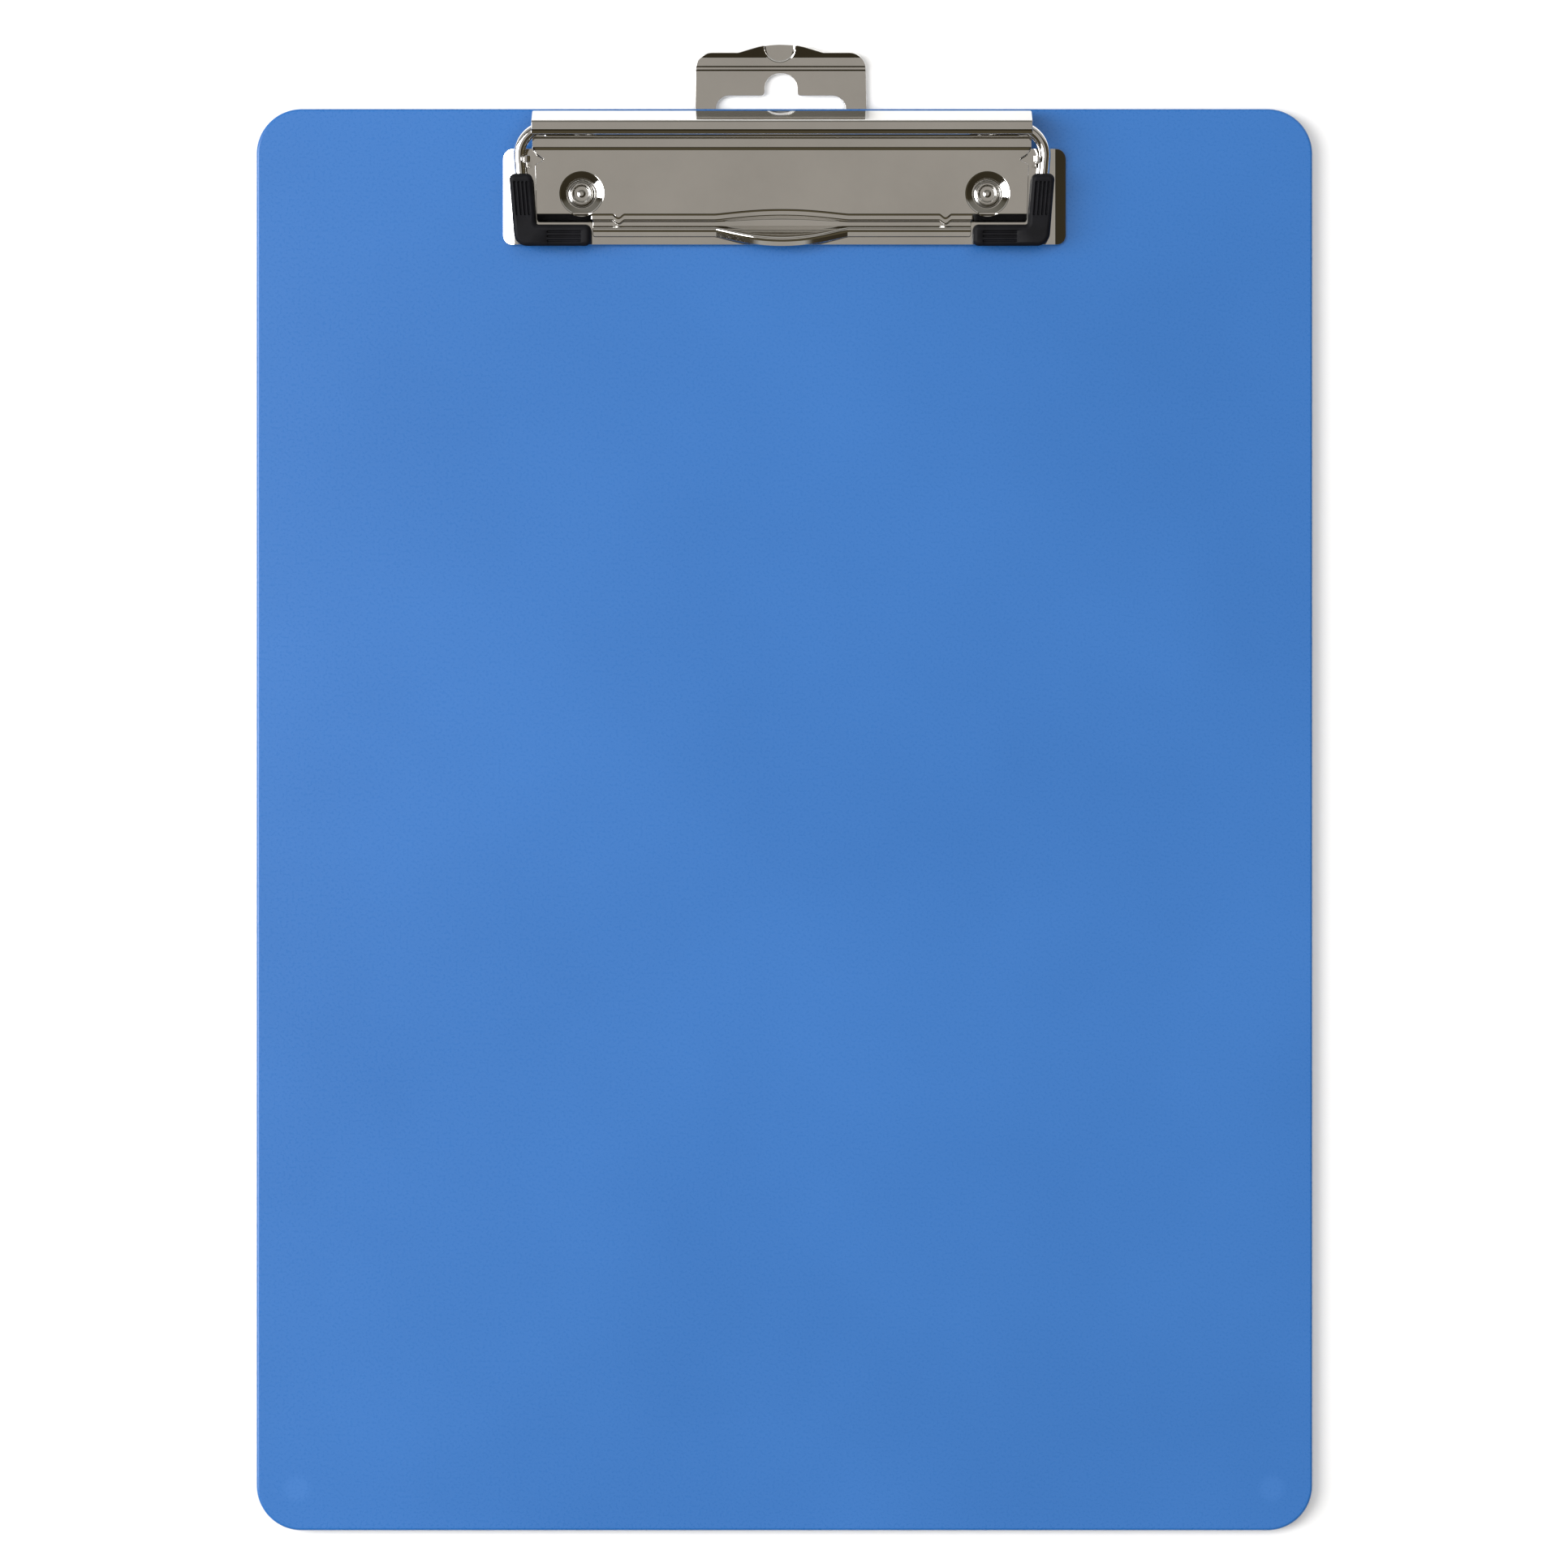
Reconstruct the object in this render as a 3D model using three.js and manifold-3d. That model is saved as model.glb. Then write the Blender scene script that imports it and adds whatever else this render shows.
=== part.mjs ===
import * as THREE from "three";
import { mergeVertices } from "three/addons/utils/BufferGeometryUtils.js";
import Module from "manifold-3d";

// Letter-size clipboard with a flat, low bail clip and a pull-out hanger.
// Millimetres. +X to the right, +Y towards the clip, +Z out of the writing face.
// The origin is the middle of a letter sheet held on the writing face. The lever is closed.
// The pieces are shaped about the middle of the board's back face, and the whole is then moved.

// Board
const BOARD_WIDTH = 228.6;
const BOARD_LENGTH = 307.8;
const BOARD_THICKNESS = 2.5;
const BOARD_CORNER_RADIUS = 9.75;
const BOARD_EDGE_ROUND = 0.6;
const BOARD_TOP = BOARD_THICKNESS;

// The held sheet lies flush with the board's lower edge, so its middle is below the board's.
const SHEET_LENGTH = 279.4;
const SHEET_MIDDLE_Y = (SHEET_LENGTH - BOARD_LENGTH) / 2;

// Sheet metal and fits
const SHEET = 0.7;
const GAP = 0.3;

// Small feet at the far end of the back
const FOOT_X = 105.5;
const FOOT_Y = -144.8;
const FOOT_RADIUS = 2.4;
const BACK_DEPTH = 1.7;

// Rivets
const RIVET_X = 43.8;
const RIVET_Y = 135.2;
const RIVET_HEAD_RADIUS = 3.05;
const RIVET_HEAD_HEIGHT = 1.3;
const RIVET_SHANK_RADIUS = 1.5;
const RIVET_HOLE_RADIUS = RIVET_SHANK_RADIUS + GAP;
const RIVET_TAIL_RADIUS = 2.6;

// Base plate: a low platform whose two ends slope down to the board
const BASE_HALF_WIDTH = 60.8;
const BASE_BEND_X = 58.4;
const BASE_FRONT = 124.25;
const BASE_REAR = 145.1;
const BASE_RISE = 1.0;
const BASE_CORNER_RADIUS = 2.25;
const BASE_TOP = BOARD_TOP + BASE_RISE + SHEET;

// The clip's moving parts sit a little to the left of the board's middle.
const CLIP_X = -0.55;

// Bail: the sprung wire, in a plane that slopes down to the front
const WIRE_RADIUS = 1.25;
const BAR_Y = 149.1;
const BAR_Z = BOARD_TOP + 6.7;
const BAIL_SLOPE = THREE.MathUtils.degToRad(6.2);
const FRONT_LEG_Y = 126.1;
const FRONT_LEG_DROP = (BAR_Y - FRONT_LEG_Y) / Math.cos(BAIL_SLOPE);
const REAR_CORNER_X = 57.1;
const REAR_BEND_RADIUS = 6.0;
const FRONT_CORNER_X = 55.3;
const FRONT_BEND_RADIUS = 2.8;
const WIRE_TIP_X = 42.6;

// Rubber corners on the wire's front ends
const RUBBER_HEIGHT = 4.5;
const RUBBER_SIDE_HALF = 2.45;
const RUBBER_FRONT_HALF = 2.3;
const RUBBER_TIP_X = 41.15;
const RUBBER_REAR_DROP = 9.9;
const RUBBER_ROUND = 1.0;
const GROOVE_WIDTH = 0.4;
const GROOVE_DEPTH = 0.45;

// Lugs of the base plate that hook over the wire and carry its turning
const LUG_Y = 142.2;
const LUG_LENGTH = 1.4;
const LUG_INNER_X = 54.15;
const LUG_REACH = 1.35;

// Lever: heel, bead round the wire's rear bar, ledge, flat panel and front rim
const BEAD_RADIUS = WIRE_RADIUS + 0.1 + SHEET / 2;
const HEEL_SLOPE = THREE.MathUtils.degToRad(62);
const HEEL_Y = 152.75;
const LEVER_HALF_WIDTH = 53.9;
const BEAD_HALF_LENGTH = 50.7;
const LEVER_PANEL_HALF_WIDTH = 53.3;
const LEVER_FRONT_HALF_WIDTH = 52.9;
const LEVER_RIM_HALF_WIDTH = 40.85;
const LEDGE_Z = BOARD_TOP + 4.05;
const PANEL_Z = BOARD_TOP + 3.55;
const VALLEY_Z = BOARD_TOP + 2.4;
const RIM_Z = BOARD_TOP + 2.95;
const PANEL_BEND_Y = 130.1;
const PANEL_CORNER_Y = 131.0;
const FOLD_EDGE_Y = 129.4;
const VALLEY_REAR_Y = 129.1;
const VALLEY_FRONT_Y = 128.1;
const RIM_Y = 127.6;
const RIM_EDGE_Y = 126.0;
const DISH_RADIUS = 5.1;
const DISH_HOLE_RADIUS = 3.35;
const DISH_DEPTH = 0.7;

// Thumb tab in the middle of the rim, and the two darts pressed into its bend
const TAB_HALF_WIDTH = 14.5;
const TAB_REACH = 2.3;
const TAB_LIFT = 2.2;
const TAB_BEND_SHIFT = 1.0;
const DART_X = 35.3;
const DART_HALF_WIDTH = 1.35;
const DART_REACH = 0.8;

// Hanger: a plate that slides out from behind the board
const HANGER_X = -0.8;
const HANGER_HALF_WIDTH = 18.8;
const HANGER_END_HALF_WIDTH = 18.4;
const HANGER_WING_HALF_WIDTH = 21.6;
const HANGER_INNER_Y = 137.5;
const HANGER_WING_Y = 145.9;
const HANGER_BEND_Y = 163.2;
const HANGER_TIP_Y = 168.2;
const HANGER_SHOULDER_Y = 166.4;
const HANGER_PLAY = 0.15;
const HANGER_CURL_RADIUS = 8;
const HANGER_SLOT_HALF_LENGTH = 14.0;
const HANGER_SLOT_Y = 154.1;
const HANGER_SLOT_HALF_HEIGHT = 2.9;
const HANGER_NAIL_HALF_WIDTH = 3.5;
const HANGER_NAIL_TOP_Y = 161.8;

// Back plate: riveted behind the board, with a channel for the hanger
const BACK_HALF_WIDTH = 49.5;
const BACK_CHANNEL_HALF_WIDTH = 22.9;
const BACK_FRONT = 128;
const BACK_REAR = 148;
const BACK_STOP_X = 20.3;

const X_AXIS = new THREE.Vector3(1, 0, 0);
const Y_AXIS = new THREE.Vector3(0, 1, 0);
const Z_AXIS = new THREE.Vector3(0, 0, 1);
const SECTION_ALONG_X = new THREE.Matrix4().makeBasis(Y_AXIS, Z_AXIS, X_AXIS);
const SECTION_ALONG_Y = new THREE.Matrix4().makeBasis(X_AXIS, Z_AXIS, Y_AXIS.clone().negate());
const ARC_STEP = THREE.MathUtils.degToRad(18);

const wasm = await Module();
wasm.setup();

// A closed geometry as a manifold, for joining and cutting.
function solid(geometry) {
  const loose = geometry.index ? geometry.toNonIndexed() : geometry;
  const bare = new THREE.BufferGeometry();
  bare.setAttribute("position", loose.getAttribute("position"));
  const merged = mergeVertices(bare, 1e-4);
  const corners = Array.from(merged.index.array);
  const kept = [];
  for (let i = 0; i < corners.length; i += 3) {
    const [a, b, c] = corners.slice(i, i + 3);
    if (a !== b && b !== c && c !== a) kept.push(a, b, c);
  }
  return new wasm.Manifold(
    new wasm.Mesh({
      numProp: 3,
      vertProperties: merged.attributes.position.array,
      triVerts: new Uint32Array(kept),
    }),
  );
}

function meshOf(name, manifold, material) {
  const { vertProperties, triVerts } = manifold.getMesh();
  const geometry = new THREE.BufferGeometry();
  geometry.setAttribute("position", new THREE.BufferAttribute(vertProperties, 3));
  geometry.setIndex(new THREE.BufferAttribute(triVerts, 1));
  geometry.computeVertexNormals();
  const mesh = new THREE.Mesh(geometry, new THREE.MeshStandardMaterial(material));
  mesh.name = name;
  return mesh;
}

// The points of a path given as [x, y, radius], with each corner rounded off.
function filleted(corners, closed = false) {
  const points = [];
  corners.forEach(([x, y, radius = 0], i) => {
    const before = corners[i - 1] ?? (closed ? corners.at(-1) : undefined);
    const after = corners[i + 1] ?? (closed ? corners[0] : undefined);
    const corner = new THREE.Vector2(x, y);
    if (!before || !after || radius === 0) {
      points.push(corner);
      return;
    }
    const back = new THREE.Vector2(before[0], before[1]).sub(corner).normalize();
    const on = new THREE.Vector2(after[0], after[1]).sub(corner).normalize();
    const opening = back.angleTo(on);
    const turn = (Math.PI - opening) * Math.sign(on.cross(back));
    const start = corner.clone().addScaledVector(back, radius / Math.tan(opening / 2));
    const middle = back.clone().add(on).normalize();
    const centre = corner.clone().addScaledVector(middle, radius / Math.sin(opening / 2));
    const steps = Math.max(2, Math.ceil(Math.abs(turn) / ARC_STEP));
    for (let k = 0; k <= steps; k++) {
      points.push(start.clone().rotateAround(centre, (turn * k) / steps));
    }
  });
  return points;
}

function outline(corners) {
  return new THREE.Shape(filleted(corners, true));
}

// The closed section of a bent sheet that follows the given centre line.
function sheetSection(line, thickness = SHEET) {
  const side = (sign) =>
    line.map((point, i) => {
      const into = point.clone().sub(line[i - 1] ?? point);
      const out = (line[i + 1] ?? point).clone().sub(point);
      const along = into.normalize().add(out.normalize()).normalize();
      const mitre = out.lengthSq() > 0 ? along.dot(out) : 1;
      const normal = new THREE.Vector2(-along.y, along.x);
      return point.clone().addScaledVector(normal, (sign * thickness) / 2 / mitre);
    });
  return new THREE.Shape([...side(1), ...side(-1).reverse()]);
}

function plateAlongZ(shape, bottom, top, bevel = 0) {
  const geometry = new THREE.ExtrudeGeometry(shape, {
    depth: top - bottom - 2 * bevel,
    bevelEnabled: bevel > 0,
    bevelSize: bevel,
    bevelThickness: bevel,
    bevelOffset: -bevel,
    bevelSegments: 3,
    curveSegments: 12,
  });
  return geometry.translate(0, 0, bottom + bevel);
}

// A Y-Z section swept along X through the given stations.
function sweptAlongX(shape, stations) {
  const steps = stations.length - 1;
  const geometry = new THREE.ExtrudeGeometry(shape, { depth: steps, steps, bevelEnabled: false });
  const position = geometry.attributes.position;
  for (let i = 0; i < position.count; i++) {
    position.setZ(i, stations[Math.round(position.getZ(i))]);
  }
  return geometry.applyMatrix4(SECTION_ALONG_X);
}

// An X-Z section swept along Y.
function sweptAlongY(shape, front, rear) {
  const geometry = new THREE.ExtrudeGeometry(shape, { depth: rear - front, bevelEnabled: false });
  return geometry.applyMatrix4(SECTION_ALONG_Y).translate(0, rear, 0);
}

function box(x0, x1, y0, y1, z0, z1) {
  const geometry = new THREE.BoxGeometry(x1 - x0, y1 - y0, z1 - z0);
  return solid(geometry.translate((x0 + x1) / 2, (y0 + y1) / 2, (z0 + z1) / 2));
}

function turned(profile, segments = 32) {
  const points = profile.map(([radius, z]) => new THREE.Vector2(radius, z));
  return new THREE.LatheGeometry(points, segments).rotateX(Math.PI / 2);
}

function roundBar(x, y, radius, bottom, top) {
  return solid(turned([[0, bottom], [radius, bottom], [radius, top], [0, top]]).translate(x, y, 0));
}

function boardSolid() {
  const x = BOARD_WIDTH / 2;
  const y = BOARD_LENGTH / 2;
  const radius = BOARD_CORNER_RADIUS;
  const shape = outline([[-x, -y, radius], [x, -y, radius], [x, y, radius], [-x, y, radius]]);
  let board = solid(plateAlongZ(shape, 0, BOARD_TOP, BOARD_EDGE_ROUND));
  for (const side of [-1, 1]) {
    board = board.subtract(roundBar(side * RIVET_X, RIVET_Y, RIVET_HOLE_RADIUS, -1, BOARD_TOP + 1));
  }
  return board;
}

function footSolid(side) {
  const edge = 0.4;
  const profile = [
    [0, -BACK_DEPTH],
    [FOOT_RADIUS - edge, -BACK_DEPTH],
    [FOOT_RADIUS, -BACK_DEPTH + edge],
    [FOOT_RADIUS, 0],
    [0, 0],
  ];
  return solid(turned(profile, 32).translate(side * FOOT_X, FOOT_Y, 0));
}

// A tubular rivet: a flat head with a raised ring round a shallow hollow, and a rolled tail.
function rivetSolid(side) {
  const under = BASE_TOP;
  const top = under + RIVET_HEAD_HEIGHT;
  const tailTop = -SHEET;
  const profile = [
    [0, -BACK_DEPTH + 0.15],
    [1.1, -BACK_DEPTH + 0.15],
    [1.4, -BACK_DEPTH],
    [2.2, -BACK_DEPTH],
    [RIVET_TAIL_RADIUS, -BACK_DEPTH + 0.35],
    [RIVET_TAIL_RADIUS, tailTop],
    [RIVET_SHANK_RADIUS, tailTop],
    [RIVET_SHANK_RADIUS, under],
    [RIVET_HEAD_RADIUS, under],
    [RIVET_HEAD_RADIUS, top - 0.65],
    [2.85, top - 0.35],
    [2.4, top - 0.15],
    [2.2, top],
    [1.9, top],
    [1.65, top - 0.25],
    [1.2, top - 0.5],
    [0.6, top - 0.35],
    [0, top - 0.3],
  ];
  return solid(turned(profile).translate(side * RIVET_X, RIVET_Y, 0));
}

function lugSolid(side) {
  const outer = LUG_INNER_X + SHEET;
  const hookUnder = BAR_Z - (BAR_Y - LUG_Y) * Math.tan(BAIL_SLOPE) + WIRE_RADIUS + GAP;
  const hookTop = hookUnder + SHEET;
  const x0 = CLIP_X + side * LUG_INNER_X;
  const section = outline([
    [x0, BASE_TOP - SHEET],
    [x0 + side * SHEET, BASE_TOP - SHEET],
    [CLIP_X + side * outer, hookUnder, 0.2],
    [x0 + side * LUG_REACH, hookUnder, 0.1],
    [x0 + side * LUG_REACH, hookTop, 0.25],
    [x0, hookTop, 0.8],
  ]);
  return solid(sweptAlongY(section, LUG_Y - LUG_LENGTH / 2, LUG_Y + LUG_LENGTH / 2));
}

function basePlateSolid() {
  const middleZ = BASE_TOP - SHEET / 2;
  const footZ = BOARD_TOP + SHEET / 2 + 0.02;
  const centreLine = filleted([
    [-BASE_HALF_WIDTH, footZ],
    [-BASE_BEND_X, middleZ, 1.2],
    [BASE_BEND_X, middleZ, 1.2],
    [BASE_HALF_WIDTH, footZ],
  ]);
  const bent = solid(sweptAlongY(sheetSection(centreLine), BASE_FRONT, BASE_REAR));
  const x = BASE_HALF_WIDTH;
  const radius = BASE_CORNER_RADIUS;
  const plan = outline([
    [-x, BASE_FRONT, radius],
    [x, BASE_FRONT, radius],
    [x, BASE_REAR, radius],
    [-x, BASE_REAR, radius],
  ]);
  let plate = bent.intersect(solid(plateAlongZ(plan, BOARD_TOP, BASE_TOP + 1)));
  for (const side of [-1, 1]) {
    const rivetX = side * RIVET_X;
    plate = plate
      .add(roundBar(rivetX, RIVET_Y, RIVET_HOLE_RADIUS + 0.9, BOARD_TOP, BASE_TOP - SHEET / 2))
      .subtract(roundBar(rivetX, RIVET_Y, RIVET_HOLE_RADIUS, BOARD_TOP - 1, BASE_TOP + 1))
      .add(lugSolid(side));
  }
  return plate;
}

function backPlateSolid() {
  const flangeZ = -SHEET / 2;
  const channelZ = -BACK_DEPTH + SHEET / 2;
  const centreLine = filleted([
    [-BACK_HALF_WIDTH, flangeZ],
    [-BACK_CHANNEL_HALF_WIDTH - 1, flangeZ, 0.5],
    [-BACK_CHANNEL_HALF_WIDTH, channelZ, 0.5],
    [BACK_CHANNEL_HALF_WIDTH, channelZ, 0.5],
    [BACK_CHANNEL_HALF_WIDTH + 1, flangeZ, 0.5],
    [BACK_HALF_WIDTH, flangeZ],
  ]);
  const bent = solid(sweptAlongY(sheetSection(centreLine), BACK_FRONT, BACK_REAR));
  const x = BACK_HALF_WIDTH;
  const plan = outline([
    [-x, BACK_FRONT, 3],
    [x, BACK_FRONT, 3],
    [x, BACK_REAR, 3],
    [-x, BACK_REAR, 3],
  ]);
  let plate = bent.intersect(solid(plateAlongZ(plan, -BACK_DEPTH, 0)));
  for (const side of [-1, 1]) {
    const stopX = HANGER_X + side * BACK_STOP_X;
    plate = plate
      .subtract(roundBar(side * RIVET_X, RIVET_Y, RIVET_HOLE_RADIUS, -BACK_DEPTH - 1, 1))
      .add(box(stopX - 0.5, stopX + 0.5, BACK_REAR - 1.8, BACK_REAR, channelZ, -0.1));
  }
  return plate;
}

// The sliding hanger: wings at its inner end, a wide slot with a nail notch, and a curled lip.
function hangerSolid() {
  const middleZ = -HANGER_PLAY - SHEET / 2;
  const wing = HANGER_WING_HALF_WIDTH;
  const half = HANGER_HALF_WIDTH;
  const end = HANGER_END_HALF_WIDTH;
  const plan = outline([
    [-wing, HANGER_INNER_Y, 1],
    [wing, HANGER_INNER_Y, 1],
    [wing, HANGER_WING_Y, 0.6],
    [half, HANGER_WING_Y, 0.6],
    [end, HANGER_SHOULDER_Y, 3.6],
    [9.2, HANGER_SHOULDER_Y, 2],
    [0, HANGER_TIP_Y + 0.9, 22],
    [-9.2, HANGER_SHOULDER_Y, 2],
    [-end, HANGER_SHOULDER_Y, 3.6],
    [-half, HANGER_WING_Y, 0.6],
    [-wing, HANGER_WING_Y, 0.6],
  ]);
  const slotTop = HANGER_SLOT_Y + HANGER_SLOT_HALF_HEIGHT;
  const slotBottom = HANGER_SLOT_Y - HANGER_SLOT_HALF_HEIGHT;
  const slot = HANGER_SLOT_HALF_LENGTH;
  const nail = HANGER_NAIL_HALF_WIDTH;
  const hole = outline([
    [-slot, slotBottom, 2.8],
    [slot, slotBottom, 2.8],
    [slot, slotTop, 2.8],
    [nail, slotTop, 0.8],
    [nail, HANGER_NAIL_TOP_Y, 3.2],
    [-nail, HANGER_NAIL_TOP_Y, 3.2],
    [-nail, slotTop, 0.8],
    [-slot, slotTop, 2.8],
  ]);
  const centreLine = [new THREE.Vector2(HANGER_INNER_Y - 1, middleZ)];
  for (let degrees = 0; degrees <= 42; degrees += 6) {
    const angle = THREE.MathUtils.degToRad(degrees);
    centreLine.push(
      new THREE.Vector2(
        HANGER_BEND_Y + HANGER_CURL_RADIUS * Math.sin(angle),
        middleZ + HANGER_CURL_RADIUS * (1 - Math.cos(angle)),
      ),
    );
  }
  const sheet = solid(sweptAlongX(sheetSection(centreLine), [-wing - 1, wing + 1]));
  const trimmed = sheet.intersect(solid(plateAlongZ(plan, -3, 6)));
  return trimmed.subtract(solid(plateAlongZ(hole, -3, 6))).translate(HANGER_X, 0, 0);
}

// A path through given points, so that a swept bar takes one section at each of them.
class PointPath extends THREE.Curve {
  constructor(points) {
    super();
    this.points = points;
  }

  indexAt(u) {
    return Math.round(u * (this.points.length - 1));
  }

  getPointAt(u, target = new THREE.Vector3()) {
    return target.copy(this.points[this.indexAt(u)]);
  }

  getTangentAt(u, target = new THREE.Vector3()) {
    const i = this.indexAt(u);
    const point = this.points[i];
    const into = point.clone().sub(this.points[i - 1] ?? point).normalize();
    const out = (this.points[i + 1] ?? point).clone().sub(point).normalize();
    return target.copy(into).add(out).normalize();
  }
}

// The bent wire in its own plane: x across, y back from the rear bar's axis.
function wireSolid(radius, tipX) {
  const corners = [
    [-tipX, -FRONT_LEG_DROP],
    [-FRONT_CORNER_X, -FRONT_LEG_DROP, FRONT_BEND_RADIUS],
    [-REAR_CORNER_X, 0, REAR_BEND_RADIUS],
    [REAR_CORNER_X, 0, REAR_BEND_RADIUS],
    [FRONT_CORNER_X, -FRONT_LEG_DROP, FRONT_BEND_RADIUS],
    [tipX, -FRONT_LEG_DROP],
  ];
  const points = filleted(corners).map(({ x, y }) => new THREE.Vector3(x, y, 0));
  const section = new THREE.Shape().absarc(0, 0, radius, 0, 2 * Math.PI);
  const geometry = new THREE.ExtrudeGeometry(section, {
    steps: points.length - 1,
    curveSegments: 10,
    extrudePath: new PointPath(points),
  });
  return solid(geometry);
}

function rubberSolid(side) {
  const legSlope = (REAR_CORNER_X - FRONT_CORNER_X) / FRONT_LEG_DROP;
  const legX = (drop) => REAR_CORNER_X - legSlope * drop;
  const front = FRONT_LEG_DROP + RUBBER_FRONT_HALF;
  const inner = FRONT_LEG_DROP - RUBBER_FRONT_HALF;
  const corners = [
    [legX(RUBBER_REAR_DROP) + RUBBER_SIDE_HALF, -RUBBER_REAR_DROP, 1.3],
    [legX(RUBBER_REAR_DROP) - RUBBER_SIDE_HALF, -RUBBER_REAR_DROP, 1.3],
    [legX(inner) - RUBBER_SIDE_HALF, -inner, 0.5],
    [RUBBER_TIP_X, -inner, 1.3],
    [RUBBER_TIP_X, -front, 1.3],
    [legX(front) + RUBBER_SIDE_HALF, -front, 2.9],
  ];
  const plan = outline(corners);
  let rubber = solid(plateAlongZ(plan, -RUBBER_HEIGHT / 2, RUBBER_HEIGHT / 2, RUBBER_ROUND));
  const grooveZ = RUBBER_HEIGHT / 2 - GROOVE_DEPTH;
  for (let i = 0; i < 3; i++) {
    const y = -FRONT_LEG_DROP + (1 - i) * 0.95 - 0.2;
    const groove = [y - GROOVE_WIDTH / 2, y + GROOVE_WIDTH / 2, grooveZ, RUBBER_HEIGHT];
    rubber = rubber.subtract(box(43.3, 50.6, ...groove));
  }
  for (let i = 0; i < 4; i++) {
    const x = (i - 1.5) * 0.85;
    const groove = box(x - GROOVE_WIDTH / 2, x + GROOVE_WIDTH / 2, -7.2, 0, grooveZ, RUBBER_HEIGHT);
    const turn = THREE.MathUtils.radToDeg(-Math.atan(legSlope));
    rubber = rubber.subtract(groove.rotate([0, 0, turn]).translate([legX(11.6), -11.6, 0]));
  }
  rubber = rubber.subtract(wireSolid(WIRE_RADIUS + 0.15, WIRE_TIP_X - GAP));
  return side > 0 ? rubber : rubber.mirror([1, 0, 0]);
}

// How strongly the thumb tab is formed at a distance from its middle, from 1 down to 0.
function tabShare(x) {
  const reach = Math.min(Math.abs(x) / TAB_HALF_WIDTH, 1);
  return (1 - reach * reach) ** 1.25;
}

// Moves the points of the straight lever section into the thumb tab and the two darts.
function press(geometry) {
  const position = geometry.attributes.position;
  for (let i = 0; i < position.count; i++) {
    const x = position.getX(i);
    const y = position.getY(i);
    const z = position.getZ(i);
    const tab = tabShare(x);
    const dart = Math.max(0, 1 - Math.abs(Math.abs(x) - DART_X) / DART_HALF_WIDTH);
    if (y < VALLEY_FRONT_Y) {
      const share = Math.min((VALLEY_FRONT_Y - y) / (VALLEY_FRONT_Y - RIM_Y - 0.1), 1);
      position.setY(i, y - TAB_REACH * tab * share);
      position.setZ(i, z + TAB_LIFT * tab * share);
    } else if (y < PANEL_CORNER_Y && z > VALLEY_Z + SHEET / 2) {
      position.setY(i, y + TAB_BEND_SHIFT * tab - DART_REACH * dart);
    }
  }
  return geometry;
}

function leverSection() {
  const line = [];
  const heelLength = (HEEL_Y - BAR_Y - BEAD_RADIUS * Math.sin(HEEL_SLOPE)) / Math.cos(HEEL_SLOPE);
  const tangentZ = BAR_Z + BEAD_RADIUS * Math.cos(HEEL_SLOPE);
  line.push(new THREE.Vector2(HEEL_Y, tangentZ - heelLength * Math.sin(HEEL_SLOPE)));
  const steps = 12;
  for (let k = 0; k <= steps; k++) {
    const angle = HEEL_SLOPE + ((-Math.PI / 2 - HEEL_SLOPE) * k) / steps;
    line.push(
      new THREE.Vector2(BAR_Y + BEAD_RADIUS * Math.sin(angle), BAR_Z + BEAD_RADIUS * Math.cos(angle)),
    );
  }
  const front = filleted([
    [BAR_Y - BEAD_RADIUS, BAR_Z - 0.2],
    [BAR_Y - BEAD_RADIUS, LEDGE_Z, 0.6],
    [145.2, LEDGE_Z, 0.5],
    [144.6, PANEL_Z, 0.5],
    [PANEL_BEND_Y, PANEL_Z, 0.6],
    [VALLEY_REAR_Y, VALLEY_Z, 0.5],
    [VALLEY_FRONT_Y, VALLEY_Z, 0.4],
    [RIM_Y, RIM_Z, 0.4],
    [RIM_EDGE_Y, VALLEY_Z],
  ]);
  return sheetSection([...line, ...front]);
}

// The panel's plan outline: full width at the rear, a relief notch beside each lug,
// and front corners cut back so that the rim passes between the rubber corners.
function leverPlan() {
  const right = [
    [LEVER_RIM_HALF_WIDTH, 120],
    [LEVER_RIM_HALF_WIDTH, FOLD_EDGE_Y, 0.4],
    [LEVER_FRONT_HALF_WIDTH, FOLD_EDGE_Y, 0.8],
    [LEVER_PANEL_HALF_WIDTH, 141.4, 0.6],
    [51.2, 142.5, 0.3],
    [LUG_INNER_X - 1.1, 143.7, 0.2],
    [LEVER_HALF_WIDTH, 145.0, 0.2],
    [LEVER_HALF_WIDTH, 156],
  ];
  const left = right.map(([x, y, radius]) => [-x, y, radius]).reverse();
  return outline([...right, ...left]);
}

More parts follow.
